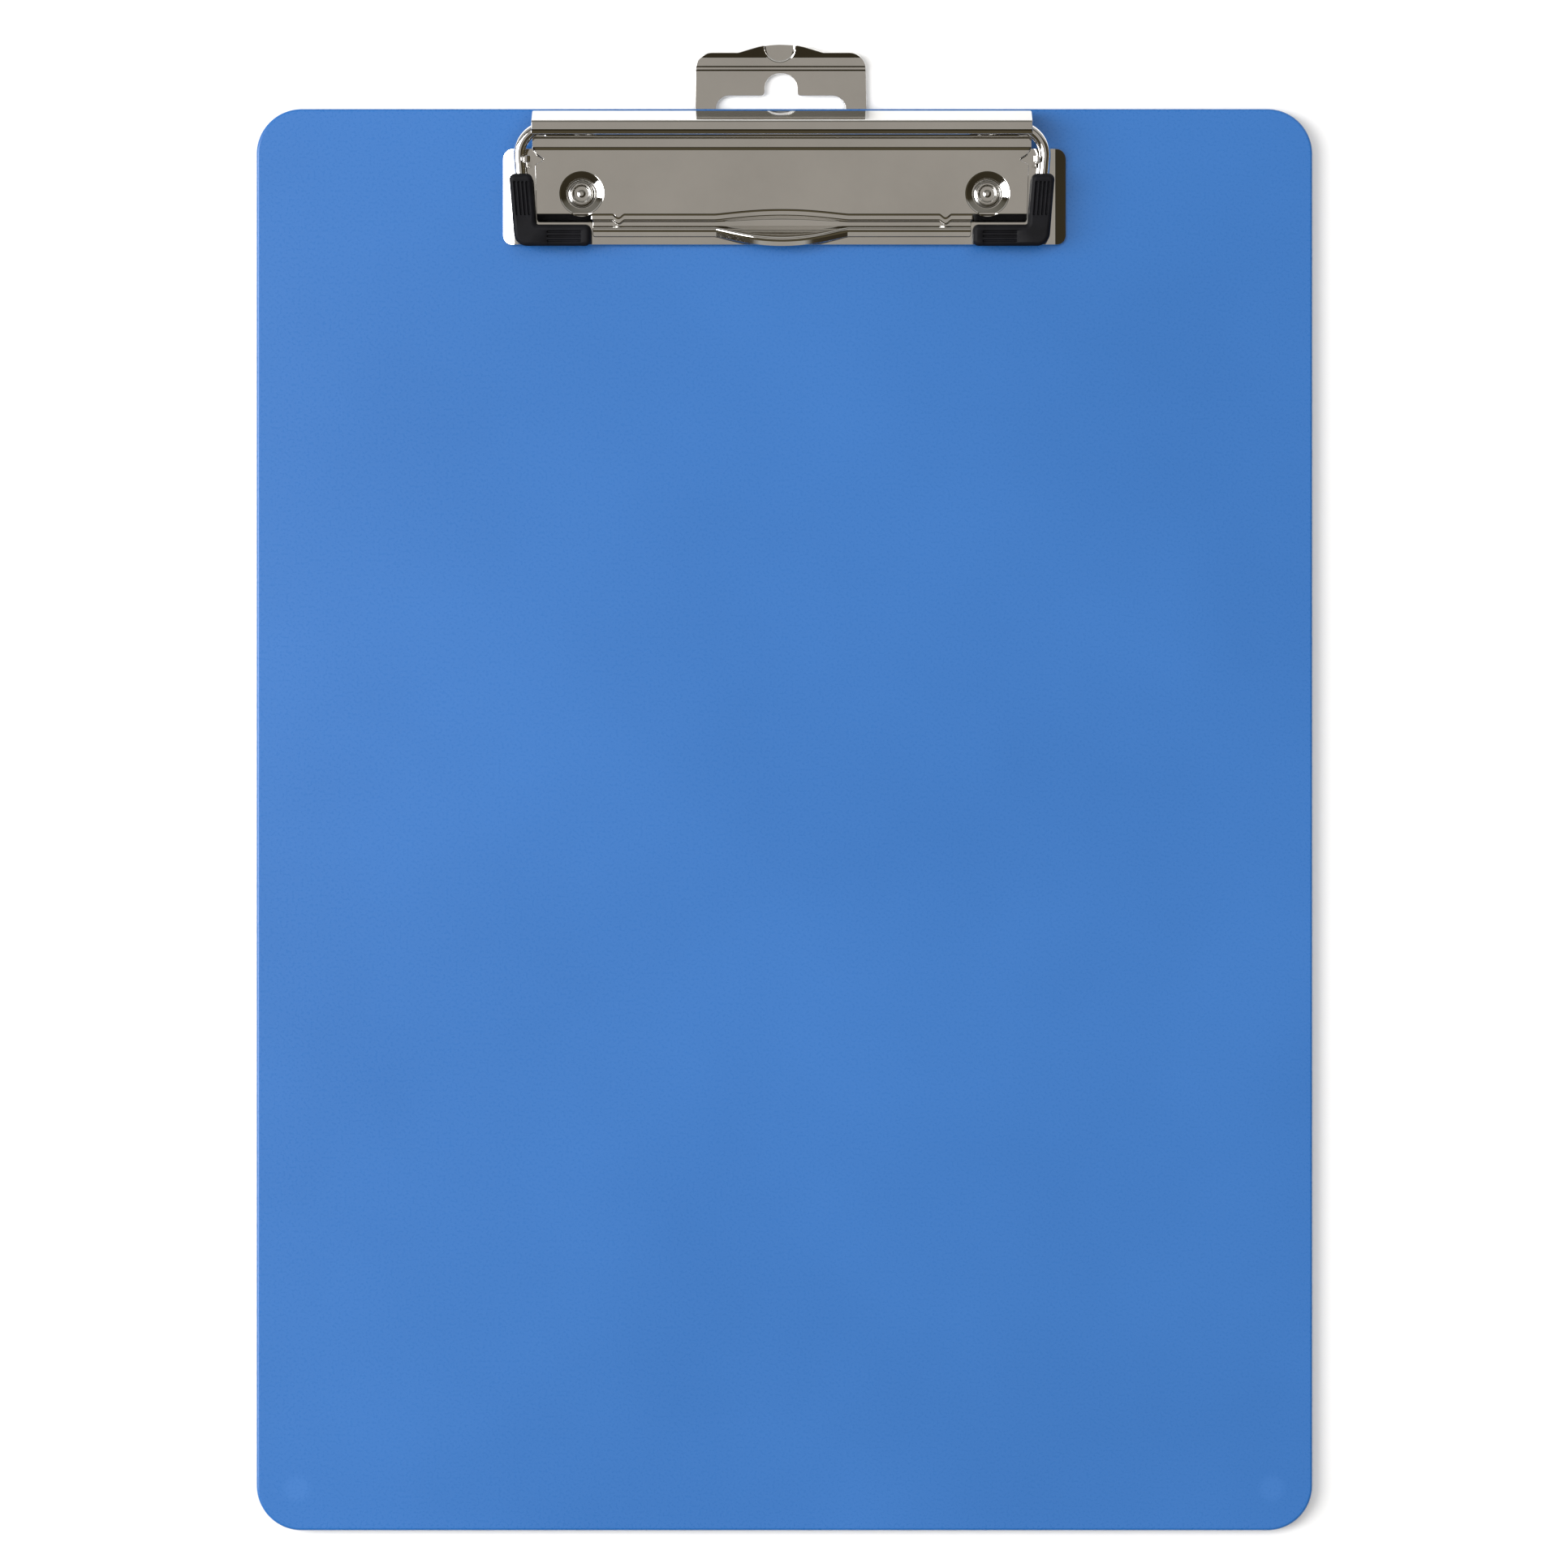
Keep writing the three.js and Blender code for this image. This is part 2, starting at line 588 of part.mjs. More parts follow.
function leverSolid() {
  const stations = [-LEVER_HALF_WIDTH - 1];
  for (const side of [-1, 1]) {
    for (const step of [-1, 0, 1]) stations.push(side * DART_X + step * DART_HALF_WIDTH);
  }
  for (let i = -9; i <= 9; i++) stations.push((TAB_HALF_WIDTH * i) / 9);
  stations.push(LEVER_HALF_WIDTH + 1);
  stations.sort((a, b) => a - b);
  let lever = solid(press(sweptAlongX(leverSection(), stations)));
  lever = lever.intersect(solid(plateAlongZ(leverPlan(), BOARD_TOP, BAR_Z + 4)));
  const top = PANEL_Z + SHEET / 2;
  const under = PANEL_Z - SHEET / 2;
  for (const side of [-1, 1]) {
    // The sheet is dished round a hole in which the rivet's head stands.
    const dish = turned([
      [DISH_HOLE_RADIUS, under - DISH_DEPTH],
      [DISH_RADIUS - 0.5, under],
      [DISH_RADIUS, under],
      [DISH_RADIUS, top],
      [DISH_RADIUS - 0.4, top],
      [DISH_RADIUS - 0.9, top - 0.15],
      [DISH_HOLE_RADIUS, top - DISH_DEPTH],
      [DISH_HOLE_RADIUS, under - DISH_DEPTH],
    ]);
    const rivetX = side * RIVET_X - CLIP_X;
    lever = lever
      .subtract(roundBar(rivetX, RIVET_Y, DISH_RADIUS - 0.2, under - 1, top + 1))
      .add(solid(dish.translate(rivetX, RIVET_Y, 0)));
    // The front wall of the bead is cut away where the wire bends forwards.
    const ends = [side * BEAD_HALF_LENGTH, side * (LEVER_HALF_WIDTH + 1)].sort((a, b) => a - b);
    const room = box(...ends, 143, BAR_Y + 1, BAR_Z - 2, BAR_Z + 3);
    const bend = wireSolid(WIRE_RADIUS + GAP, WIRE_TIP_X)
      .rotate([THREE.MathUtils.radToDeg(BAIL_SLOPE), 0, 0])
      .translate([0, BAR_Y, BAR_Z]);
    lever = lever
      .subtract(box(...ends, 146.0, 148.15, BAR_Z - 2, BAR_Z + 3))
      .subtract(bend.intersect(room));
    // A short skirt stiffens each side of the panel.
    const skirt = [side * (LEVER_FRONT_HALF_WIDTH - SHEET), side * LEVER_FRONT_HALF_WIDTH].sort(
      (a, b) => a - b,
    );
    lever = lever.add(box(...skirt, 132.4, 140.4, BOARD_TOP + 2.2, PANEL_Z));
  }
  return lever.translate(CLIP_X, 0, 0);
}

const CHROME = { color: 0xc9c8c4, metalness: 1, roughness: 0.12 };
const WIRE_CHROME = { color: 0xd0cfcc, metalness: 1, roughness: 0.08 };
const RUBBER = { color: 0x1f1f24, metalness: 0, roughness: 0.75 };
const BLUE_PLASTIC = { color: 0x3f7ac4, metalness: 0, roughness: 0.25 };
const PALE_PLASTIC = { color: 0x8fb4e0, metalness: 0, roughness: 0.5 };

const SIDES = [["left", -1], ["right", 1]];

const clipboard = new THREE.Group();
clipboard.name = "clipboard";
clipboard.position.set(0, -SHEET_MIDDLE_Y, -BOARD_TOP);
clipboard.add(meshOf("board", boardSolid(), BLUE_PLASTIC));
clipboard.add(meshOf("base_plate", basePlateSolid(), CHROME));
clipboard.add(meshOf("back_plate", backPlateSolid(), CHROME));
clipboard.add(meshOf("hanger", hangerSolid(), CHROME));
clipboard.add(meshOf("lever_plate", leverSolid(), CHROME));
for (const [name, side] of SIDES) {
  clipboard.add(meshOf(`foot_${name}`, footSolid(side), PALE_PLASTIC));
  clipboard.add(meshOf(`rivet_${name}`, rivetSolid(side), CHROME));
}

// The bail's own group sits on the rear bar's axis and slopes down to the front.
const bail = new THREE.Group();
bail.name = "bail";
bail.position.set(CLIP_X, BAR_Y, BAR_Z);
bail.rotation.x = BAIL_SLOPE;
bail.add(meshOf("bail_wire", wireSolid(WIRE_RADIUS, WIRE_TIP_X), WIRE_CHROME));
for (const [name, side] of SIDES) {
  bail.add(meshOf(`rubber_corner_${name}`, rubberSolid(side), RUBBER));
}
clipboard.add(bail);

export default clipboard;
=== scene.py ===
import math

import bpy
import numpy as np
from mathutils import Matrix, Vector
from mathutils.geometry import delaunay_2d_cdt


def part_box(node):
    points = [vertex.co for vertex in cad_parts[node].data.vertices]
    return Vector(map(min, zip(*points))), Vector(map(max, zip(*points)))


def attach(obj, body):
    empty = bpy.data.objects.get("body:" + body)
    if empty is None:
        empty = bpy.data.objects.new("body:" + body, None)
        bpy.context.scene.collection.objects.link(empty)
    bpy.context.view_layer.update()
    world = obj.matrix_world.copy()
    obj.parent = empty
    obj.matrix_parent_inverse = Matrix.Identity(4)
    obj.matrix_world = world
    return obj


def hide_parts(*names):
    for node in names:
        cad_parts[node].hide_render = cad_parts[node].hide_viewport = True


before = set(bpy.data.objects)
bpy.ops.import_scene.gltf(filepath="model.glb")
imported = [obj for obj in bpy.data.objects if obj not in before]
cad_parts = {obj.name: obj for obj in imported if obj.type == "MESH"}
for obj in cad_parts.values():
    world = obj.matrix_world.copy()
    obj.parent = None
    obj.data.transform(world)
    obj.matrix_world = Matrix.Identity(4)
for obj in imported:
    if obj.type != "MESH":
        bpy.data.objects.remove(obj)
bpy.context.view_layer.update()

MM = 0.001

# Shapes are drawn about the board's middle, which lies above the origin.
BOARD_MIDDLE = sum(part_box("board"), Vector()).y / 2 / MM
OFFSET = Vector((0, BOARD_MIDDLE, 0))


def box_mm(node):
    low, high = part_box(node)
    return low / MM - OFFSET, high / MM - OFFSET


# Sizes are in millimetres about the board's middle, and repeat the CAD's.
BOARD_LOW, BOARD_HIGH = box_mm("board")
LEVER_LOW, LEVER_HIGH = box_mm("lever_plate")
BASE_LOW, BASE_HIGH = box_mm("base_plate")
HANGER_LOW, HANGER_HIGH = box_mm("hanger")
BACK_LOW, BACK_HIGH = box_mm("back_plate")
RIVET_LOW, RIVET_HIGH = box_mm("rivet_right")
FOOT_LOW, FOOT_HIGH = box_mm("foot_right")

BOARD_TOP = BOARD_HIGH.z
SHEET = 0.7
CLIP_X = (LEVER_LOW.x + LEVER_HIGH.x) / 2
BASE_TOP = BOARD_TOP + 1.0 + SHEET
WIRE_RADIUS = 1.25
BEAD_RADIUS = WIRE_RADIUS + 0.1 + SHEET / 2
BAR_Y = 149.1
BAR_Z = LEVER_HIGH.z - BEAD_RADIUS - SHEET / 2
BAIL_SLOPE = math.radians(6.2)
RIVET_X = (RIVET_LOW.x + RIVET_HIGH.x) / 2
RIVET_Y = (RIVET_LOW.y + RIVET_HIGH.y) / 2
RIVET_HOLE = 1.8


# ---------------------------------------------------------------- 2D paths


def fillet(corners, closed=False, step=5.0):
    """Points (x, y, heading) of the path [x, y, radius] with its corners rounded off."""
    out = []
    count = len(corners)
    for i, corner in enumerate(corners):
        x, y, radius = (*corner, 0.0)[:3]
        here = Vector((x, y))
        has_before = closed or i > 0
        has_after = closed or i < count - 1
        before = Vector(corners[i - 1][:2]) if has_before else None
        after = Vector(corners[(i + 1) % count][:2]) if has_after else None
        into = (here - before).normalized() if has_before else None
        on = (after - here).normalized() if has_after else None
        if not (has_before and has_after) or radius == 0:
            way = (into or on) if not (has_before and has_after) else (into + on)
            out.append((x, y, math.atan2(way.y, way.x)))
            continue
        turn = math.atan2(into.x * on.y - into.y * on.x, into.dot(on))
        reach = radius * math.tan(abs(turn) / 2)
        start = here - into * reach
        side = math.copysign(1.0, turn)
        centre = start + Vector((-into.y, into.x)) * side * radius
        heading = math.atan2(into.y, into.x)
        steps = max(2, math.ceil(abs(math.degrees(turn)) / step))
        for k in range(steps + 1):
            angle = heading + turn * k / steps
            point = centre + Vector((math.sin(angle), -math.cos(angle))) * side * radius
            out.append((point.x, point.y, angle))
    return out


def loop_of(corners, step=5.0):
    return [(x, y) for x, y, _ in fillet(corners, True, step)]


def rectangle(x0, y0, x1, y1, radius, step=5.0):
    return loop_of([(x0, y0, radius), (x1, y0, radius), (x1, y1, radius), (x0, y1, radius)], step)


def circle(x, y, radius, count=64):
    turns = (2 * math.pi * k / count for k in range(count))
    return [(x + radius * math.cos(t), y + radius * math.sin(t)) for t in turns]


def grown(loop, distance):
    """The counter-clockwise loop moved outwards by distance."""
    out = []
    for i, point in enumerate(loop):
        here = Vector(point)
        into = (here - Vector(loop[i - 1])).normalized()
        on = (Vector(loop[(i + 1) % len(loop)]) - here).normalized()
        along = (into + on).normalized()
        mitre = max(along.dot(on), 0.5)
        out.append(tuple(here + Vector((along.y, -along.x)) * distance / mitre))
    return out


class Profile:
    """The centre line of a bent sheet, read by the length s along it."""

    def __init__(self, points):
        self.points = np.array(points, float)
        self.points[:, 2] = np.unwrap(self.points[:, 2])
        gaps = np.hypot(*np.diff(self.points[:, :2], axis=0).T)
        self.s = np.concatenate([[0.0], np.cumsum(gaps)])
        self.length = float(self.s[-1])

    def at(self, s):
        """The point and heading (a, b, heading) at the length s."""
        return [float(np.interp(s, self.s, self.points[:, k])) for k in range(3)]

    def find_height(self, b, after):
        """The first corner past `after` that is at the height b or above it."""
        climbed = [s for s, point in zip(self.s, self.points) if s > after and point[1] >= b]
        return float(climbed[0])

    def find(self, a, after=0.0):
        """The first s past `after` at which the profile crosses the coordinate a."""
        for k in range(len(self.s) - 1):
            lo, hi = self.points[k, 0], self.points[k + 1, 0]
            if self.s[k + 1] > after and min(lo, hi) <= a <= max(lo, hi) and lo != hi:
                s = self.s[k] + (a - lo) / (hi - lo) * (self.s[k + 1] - self.s[k])
                if s >= after:
                    return float(s)
        raise ValueError(f"the profile never reaches {a}")


# ---------------------------------------------------------------- meshes

CDT_EPSILON = 1e-5
GUIDE_REACH = 400
NUDGE = 0.004
RELIEF_STEP = 0.02
RIM_BULGE = 0.12
RIM_ANGLES = [math.radians(t) for t in (67.5, 45, 22.5, 0)]
DOME_ANGLES = [math.radians(t) for t in (80, 60, 40, 20)]
DOME_DEPTH = 0.35


def inside(points, loop):
    """Whether each point lies inside the loop, by the even-odd rule."""
    x, y = points[:, 0], points[:, 1]
    hit = np.zeros(len(points), bool)
    for (x0, y0), (x1, y1) in zip(loop, [*loop[1:], loop[0]]):
        if y0 == y1:
            continue
        crosses = (y0 > y) != (y1 > y)
        hit ^= crosses & (x < (x1 - x0) * (y - y0) / (y1 - y0) + x0)
    return hit


def triangulate(outline, holes, guides):
    """Triangles that fill the outline less its holes, with an edge along each guide line."""
    coords, edges = [], []
    for line, closed in [(outline, True), *((h, True) for h in holes), *guides]:
        first = len(coords)
        coords.extend(Vector(p) for p in line)
        last = len(coords) - 1
        edges.extend((k, k + 1) for k in range(first, last))
        if closed:
            edges.append((last, first))
    points, _, faces, *_ = delaunay_2d_cdt(coords, edges, [], 0, CDT_EPSILON)
    points = np.array([tuple(p) for p in points])
    faces = np.array([f for f in faces if len(f) == 3])
    middles = points[faces].mean(axis=1)
    keep = inside(middles, outline)
    for hole in holes:
        keep &= ~inside(middles, hole)
    faces = faces[keep]
    used, index = np.unique(faces, return_inverse=True)
    points, faces = points[used], index.reshape(-1, 3)
    a, b, c = points[faces[:, 0]], points[faces[:, 1]], points[faces[:, 2]]
    area = (b - a)[:, 0] * (c - a)[:, 1] - (b - a)[:, 1] * (c - a)[:, 0]
    faces[area < 0] = faces[area < 0][:, ::-1]
    return points, faces


class Builder:
    """Collects vertices in millimetres with their normals, and faces."""

    def __init__(self):
        self.points, self.normals, self.faces = [], [], []

    def vertex(self, point, normal):
        self.points.append(Vector(point))
        self.normals.append(Vector(normal).normalized())
        return len(self.points) - 1

    def mirrored(self, x=0.0):
        out = Builder()
        out.points = [Vector((2 * x - p.x, p.y, p.z)) for p in self.points]
        out.normals = [Vector((-n.x, n.y, n.z)) for n in self.normals]
        out.faces = [tuple(reversed(f)) for f in self.faces]
        return out

    def moved(self, matrix):
        out = Builder()
        turn = matrix.to_3x3()
        out.points = [matrix @ p for p in self.points]
        out.normals = [turn @ n for n in self.normals]
        out.faces = list(self.faces)
        return out

    def add(self, other):
        base = len(self.points)
        self.points += other.points
        self.normals += other.normals
        self.faces += [tuple(base + k for k in f) for f in other.faces]
        return self

    def piece(self, name, body, material, slot, *nodes):
        mesh = bpy.data.meshes.new(name)
        mesh.from_pydata([tuple((p + OFFSET) * MM) for p in self.points], [], self.faces)
        mesh.validate()
        mesh.polygons.foreach_set("use_smooth", [True] * len(mesh.polygons))
        mesh.normals_split_custom_set_from_vertices([tuple(n) for n in self.normals])
        mesh.materials.append(material)
        piece = bpy.data.objects.new(name, mesh)
        bpy.context.scene.collection.objects.link(piece)
        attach(piece, body)
        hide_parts(*nodes)
        return piece


def formed_sheet(
    profile,
    along_x,
    outline,
    holes=(),
    guides=(),
    thickness=SHEET,
    edge=None,
    shape=None,
    relief=None,
    thin=None,
):
    """A sheet with rounded edges. The outline is in (u, s): u runs across the profile and
    s along it. edge is (how far the rim bulges out, how far down it starts). shape moves
    a point of the middle surface, relief lifts the upper face, and thin(u, s) says how
    much is taken from the lower face."""
    half = thickness / 2
    bulge, round_height = edge or (RIM_BULGE, half)
    outline = grown(outline, -bulge)
    holes = [grown(h, bulge) for h in holes]
    lines = [(g, False) for g in guides]
    for s in profile.s[1:-1]:
        lines.append(([(-GUIDE_REACH, s), (GUIDE_REACH, s)], False))
    flat, faces = triangulate(outline, holes, lines)

    def place(u, a, b):
        point = Vector((u, a, b)) if along_x else Vector((a, -u, b))
        return shape(point) if shape else point

    build = Builder()
    middle, normals = [], []
    for u, s in flat:
        a, b, heading = profile.at(s)
        da, db = math.cos(heading) * NUDGE, math.sin(heading) * NUDGE
        across = place(u + NUDGE, a, b) - place(u - NUDGE, a, b)
        along = place(u, a + da, b + db) - place(u, a - da, b - db)
        middle.append(place(u, a, b))
        normals.append(across.cross(along).normalized())
    count = len(flat)
    for k, (u, s) in enumerate(flat):
        lift = relief(u, s) if relief else 0.0
        normal = normals[k]
        if relief:
            rise_u = relief(u + RELIEF_STEP, s) - relief(u - RELIEF_STEP, s)
            rise_s = relief(u, s + RELIEF_STEP) - relief(u, s - RELIEF_STEP)
            normal = normal - Vector((rise_u, rise_s, 0)) / (2 * RELIEF_STEP)
        build.vertex(middle[k] + normals[k] * (half + lift), normal)
    for k, (u, s) in enumerate(flat):
        taken = thin(u, s) if thin else 0.0
        build.vertex(middle[k] - normals[k] * (half - taken), -normals[k])
    for a, b, c in faces:
        build.faces.append((int(a), int(b), int(c)))
        build.faces.append((int(c) + count, int(b) + count, int(a) + count))
    add_rim(build, faces, middle, normals, count, half, bulge, round_height)
    return build


def add_rim(build, faces, middle, normals, count, half, bulge, round_height):
    """Closes the sheet's open edges with a rounded rim."""
    seen = {}
    for face in faces:
        for i in range(3):
            a, b = int(face[i]), int(face[(i + 1) % 3])
            if seen.pop((b, a), None) is None:
                seen[(a, b)] = True
    outward = {}
    for a, b in seen:
        way = (middle[b] - middle[a]).normalized()
        for k in (a, b):
            outward.setdefault(k, []).append(way.cross(normals[k]).normalized())
    columns = {}
    rows = [(t, 1) for t in RIM_ANGLES] + [(t, -1) for t in reversed(RIM_ANGLES)]
    if round_height >= half:
        rows.pop(len(RIM_ANGLES))
    for k, ways in outward.items():
        out = sum(ways, Vector()).normalized()
        reach = 1 / max(out.dot(ways[0]), 0.6)
        top, bottom = build.points[k], build.points[k + count]
        scale = (top - bottom).length / (2 * half)
        column = [k]
        for angle, side in rows:
            height = half - round_height + round_height * math.sin(angle)
            point = (top + bottom) / 2 + normals[k] * height * side * scale
            lean = normals[k] * side * math.sin(angle) * bulge
            normal = out * math.cos(angle) * round_height + lean
            column.append(build.vertex(point + out * bulge * math.cos(angle) * reach, normal))
        column.append(k + count)
        columns[k] = column
    for a, b in seen:
        left, right = columns[a], columns[b]
        for k in range(len(left) - 1):
            build.faces.append((right[k], left[k], left[k + 1], right[k + 1]))


def turned(profile, x, y, count=72):
    """A solid of revolution about the vertical through (x, y). profile is (radius, z,
    heading) from the axis at the bottom, round the outside, to the axis at the top."""
    build = Builder()
    rings = []
    for radius, z, heading in profile:
        out, up = math.sin(heading), -math.cos(heading)
        if radius < 1e-6:
            rings.append([build.vertex((x, y, z), (0, 0, up))])
            continue
        ring = []
        for k in range(count):
            t = 2 * math.pi * k / count
            c, s = math.cos(t), math.sin(t)
            ring.append(build.vertex((x + radius * c, y + radius * s, z), (out * c, out * s, up)))
        rings.append(ring)
    for low, high in zip(rings, rings[1:]):
        for k in range(count):
            n = (k + 1) % count
            bottom = (low[k % len(low)], low[n % len(low)])
            top = (high[n % len(high)], high[k % len(high)])
            build.faces.append(tuple(dict.fromkeys(bottom + top)))
    return build


def swept(path, radius, count=40):
    """A round bar along a plane path of (x, y, heading), closed with domed ends."""
    build = Builder()
    rings = []

    def ring(x, y, heading, r, lean):
        side = Vector((-math.sin(heading), math.cos(heading), 0))
        way = Vector((math.cos(heading), math.sin(heading), 0))
        out = []
        for k in range(count):
            t = 2 * math.pi * k / count
            away = side * math.cos(t) + Vector((0, 0, math.sin(t)))
            normal = away * math.cos(lean) + way * math.sin(lean)
            out.append(build.vertex(Vector((x, y, 0)) + away * r, normal))
        rings.append(out)

    for end, order in ((0, DOME_ANGLES), (-1, DOME_ANGLES[::-1])):
        x, y, heading = path[end]
        sign = -1 if end == 0 else 1
        if end == -1:
            for px, py, ph in path:
                ring(px, py, ph, radius, 0)
        for t in order:
            off = radius * DOME_DEPTH * math.sin(t) * sign
            cx, cy = x + math.cos(heading) * off, y + math.sin(heading) * off
            ring(cx, cy, heading, radius * math.cos(t), t * sign)
    for low, high in zip(rings, rings[1:]):
        for k in range(count):
            n = (k + 1) % count
            build.faces.append((low[k], low[n], high[n], high[k]))
    build.faces.append(tuple(reversed(rings[0])))
    build.faces.append(tuple(rings[-1]))
    return build


# ---------------------------------------------------------------- materials

# the colour sockets of a Mix node, which share their names with its other sockets
MIX_SHARE, MIX_FIRST, MIX_SECOND, MIX_RESULT = 0, 6, 7, 2


def fill_ramp(node, stops):
    """Sets a colour ramp's stops, each (position, colour or grey)."""
    elements = node.color_ramp.elements
    colors = [c if isinstance(c, tuple) else (c, c, c) for _, c in stops]
    for element, end in ((elements[1], -1), (elements[0], 0)):
        element.position = stops[end][0]
        element.color = (*colors[end], 1)
    for (position, _), color in list(zip(stops, colors))[1:-1]:
        elements.new(position).color = (*color, 1)


class Tree:
    """A node tree, with short names for the nodes used here."""

    def __init__(self, tree):
        self.tree = tree

    def new(self, kind, **settings):
        node = self.tree.nodes.new(kind)
        for key, value in settings.items():
            setattr(node, key, value)
        return node

    def link(self, source, target):
        self.tree.links.new(source, target)

    def ramp(self, fac, *stops):
        node = self.new("ShaderNodeValToRGB")
        fill_ramp(node, stops)
        self.link(fac, node.inputs["Fac"])
        return node.outputs["Color"]

    def math(self, operation, a, b):
        node = self.new("ShaderNodeMath", operation=operation)
        for socket, value in zip(node.inputs, (a, b)):
            if isinstance(value, (int, float)):
                socket.default_value = value
            else:
                self.link(value, socket)
        return node.outputs["Value"]

    def mix(self, share, color, other):
        """The colour, or `other` where share is 1."""
        node = self.new("ShaderNodeMix", data_type="RGBA")
        self.link(share, node.inputs[MIX_SHARE])
        self.link(color, node.inputs[MIX_FIRST])
        if isinstance(other, tuple):
            node.inputs[MIX_SECOND].default_value = (*other, 1)
        else:
            self.link(other, node.inputs[MIX_SECOND])
        return node.outputs[MIX_RESULT]


class Nodes(Tree):
    """A new material's tree."""

    def __init__(self, name):
        self.material = bpy.data.materials.new(name)
        self.material.use_nodes = True
        super().__init__(self.material.node_tree)
        self.shader = self.tree.nodes["Principled BSDF"]
        self.place = self.new("ShaderNodeTexCoord").outputs["Object"]

    def noise(self, scale, detail, rough=0.55, stretch=None):
        node = self.new("ShaderNodeTexNoise")
        node.inputs["Scale"].default_value = scale
        node.inputs["Detail"].default_value = detail
        node.inputs["Roughness"].default_value = rough
        place = self.place
        if stretch:
            mapping = self.new("ShaderNodeMapping")
            mapping.inputs["Scale"].default_value = stretch
            self.link(place, mapping.inputs["Vector"])
            place = mapping.outputs["Vector"]
        self.link(place, node.inputs["Vector"])
        return node.outputs["Fac"]

    def span(self, fac, low, high, start=0.3, stop=0.7):
        node = self.new("ShaderNodeMapRange")
        node.inputs["From Min"].default_value = start
        node.inputs["From Max"].default_value = stop
        node.inputs["To Min"].default_value = low
        node.inputs["To Max"].default_value = high
        self.link(fac, node.inputs["Value"])
        return node.outputs["Result"]

    def bump(self, height, distance, strength=1.0, under=None):
        node = self.new("ShaderNodeBump")
        node.inputs["Distance"].default_value = distance
        node.inputs["Strength"].default_value = strength
        self.link(height, node.inputs["Height"])
        if under is not None:
            self.link(under, node.inputs["Normal"])
        return node.outputs["Normal"]

    def set(self, **values):
        for key, value in values.items():
            self.shader.inputs[key.replace("_", " ")].default_value = value


def chrome(name, tone, low_rough, high_rough, waviness):
    """Bright plating: slightly wavy sheet, faint rubbing marks and a thin haze."""
    m = Nodes(name)
    m.set(Metallic=1.0)
    haze = m.noise(55, 5, 0.6)
    rubbed = m.noise(900, 3, 0.6, (1, 0.06, 1))
    dark = tuple(c * 0.93 for c in tone)
    m.link(m.ramp(haze, (0.3, dark), (0.62, tone)), m.shader.inputs["Base Color"])
    mixed = m.math("ADD", m.math("MULTIPLY", haze, 0.6), m.math("MULTIPLY", rubbed, 0.4))
    m.link(m.span(mixed, low_rough, high_rough), m.shader.inputs["Roughness"])
    wave = m.bump(m.noise(90, 2, 0.4), waviness)
    fine = m.bump(rubbed, 0.0000012, 1.0, wave)
    m.link(fine, m.shader.inputs["Normal"])
    return m.material


# painted show-through: this lighter blue over the feet stands in for light passing through the
# plastic
PAINTED_SHOW_THROUGH_COLOR = (0.032, 0.153, 0.45)
PAINTED_SHOW_THROUGH_SHARE = 0.5
PAINTED_SHOW_THROUGH_FADE = (0.0018, 0.0034)


def painted_show_through(m, tint):
    """Painted show-through: the base colour is lighter in discs where the feet sit behind the
    board, standing in for light passing through the plastic.
    """
    show_through_mask = None
    for side in (-1, 1):
        x = side * (FOOT_LOW.x + FOOT_HIGH.x) / 2
        place = (Vector((x, (FOOT_LOW.y + FOOT_HIGH.y) / 2, 0)) + OFFSET) * MM
        flat = m.new("ShaderNodeVectorMath", operation="MULTIPLY")
        flat.inputs[1].default_value = (1, 1, 0)
        m.link(m.place, flat.inputs[0])
        away = m.new("ShaderNodeVectorMath", operation="DISTANCE")
        away.inputs[1].default_value = place
        m.link(flat.outputs["Vector"], away.inputs[0])
        painted_disc = m.span(away.outputs["Value"], PAINTED_SHOW_THROUGH_SHARE, 0.0, *PAINTED_SHOW_THROUGH_FADE)
        show_through_mask = painted_disc if show_through_mask is None else m.math("ADD", show_through_mask, painted_disc)
    return m.mix(show_through_mask, tint, PAINTED_SHOW_THROUGH_COLOR)


def board_plastic():
    """Blue sheet plastic with a fine moulded grain; the feet showing through are painted into its
    colour as lighter discs.
    """
    m = Nodes("blue_plastic")
    cloud = m.noise(14, 3, 0.5)
    grain = m.noise(1500, 3, 0.6)
    tint = m.ramp(cloud, (0.3, (0.016, 0.121, 0.385)), (0.7, (0.021, 0.135, 0.420)))
    # the base colour carries the painted show-through of the feet
    m.link(painted_show_through(m, tint), m.shader.inputs["Base Color"])
    m.link(m.span(grain, 0.24, 0.34), m.shader.inputs["Roughness"])
    m.set(IOR=1.49, Specular_IOR_Level=0.5, Coat_Weight=0.15, Coat_Roughness=0.12)
    scuff = m.noise(260, 6, 0.7, (1, 0.2, 1))
    low = m.bump(m.noise(220, 2, 0.4), 0.000003)
    marks = m.math("ADD", grain, m.math("MULTIPLY", scuff, 0.3))
    m.link(m.bump(marks, 0.0000025, 1.0, low), m.shader.inputs["Normal"])
    return m.material


def black_rubber():
    """Matte black rubber with pores and a little dust."""
    m = Nodes("black_rubber")
    dust = m.noise(160, 6, 0.65)
    pores = m.noise(1400, 4, 0.6)
    tint = m.ramp(
        dust,
        (0.35, (0.004, 0.004, 0.005)),
        (0.60, (0.007, 0.007, 0.009)),
        (0.78, (0.014, 0.013, 0.015)),
    )
    m.link(tint, m.shader.inputs["Base Color"])
    m.link(m.span(dust, 0.5, 0.72), m.shader.inputs["Roughness"])
    m.link(m.bump(pores, 0.00003, 0.7, m.bump(dust, 0.00004, 0.5)), m.shader.inputs["Normal"])
    m.set(Specular_IOR_Level=0.16)
    return m.material


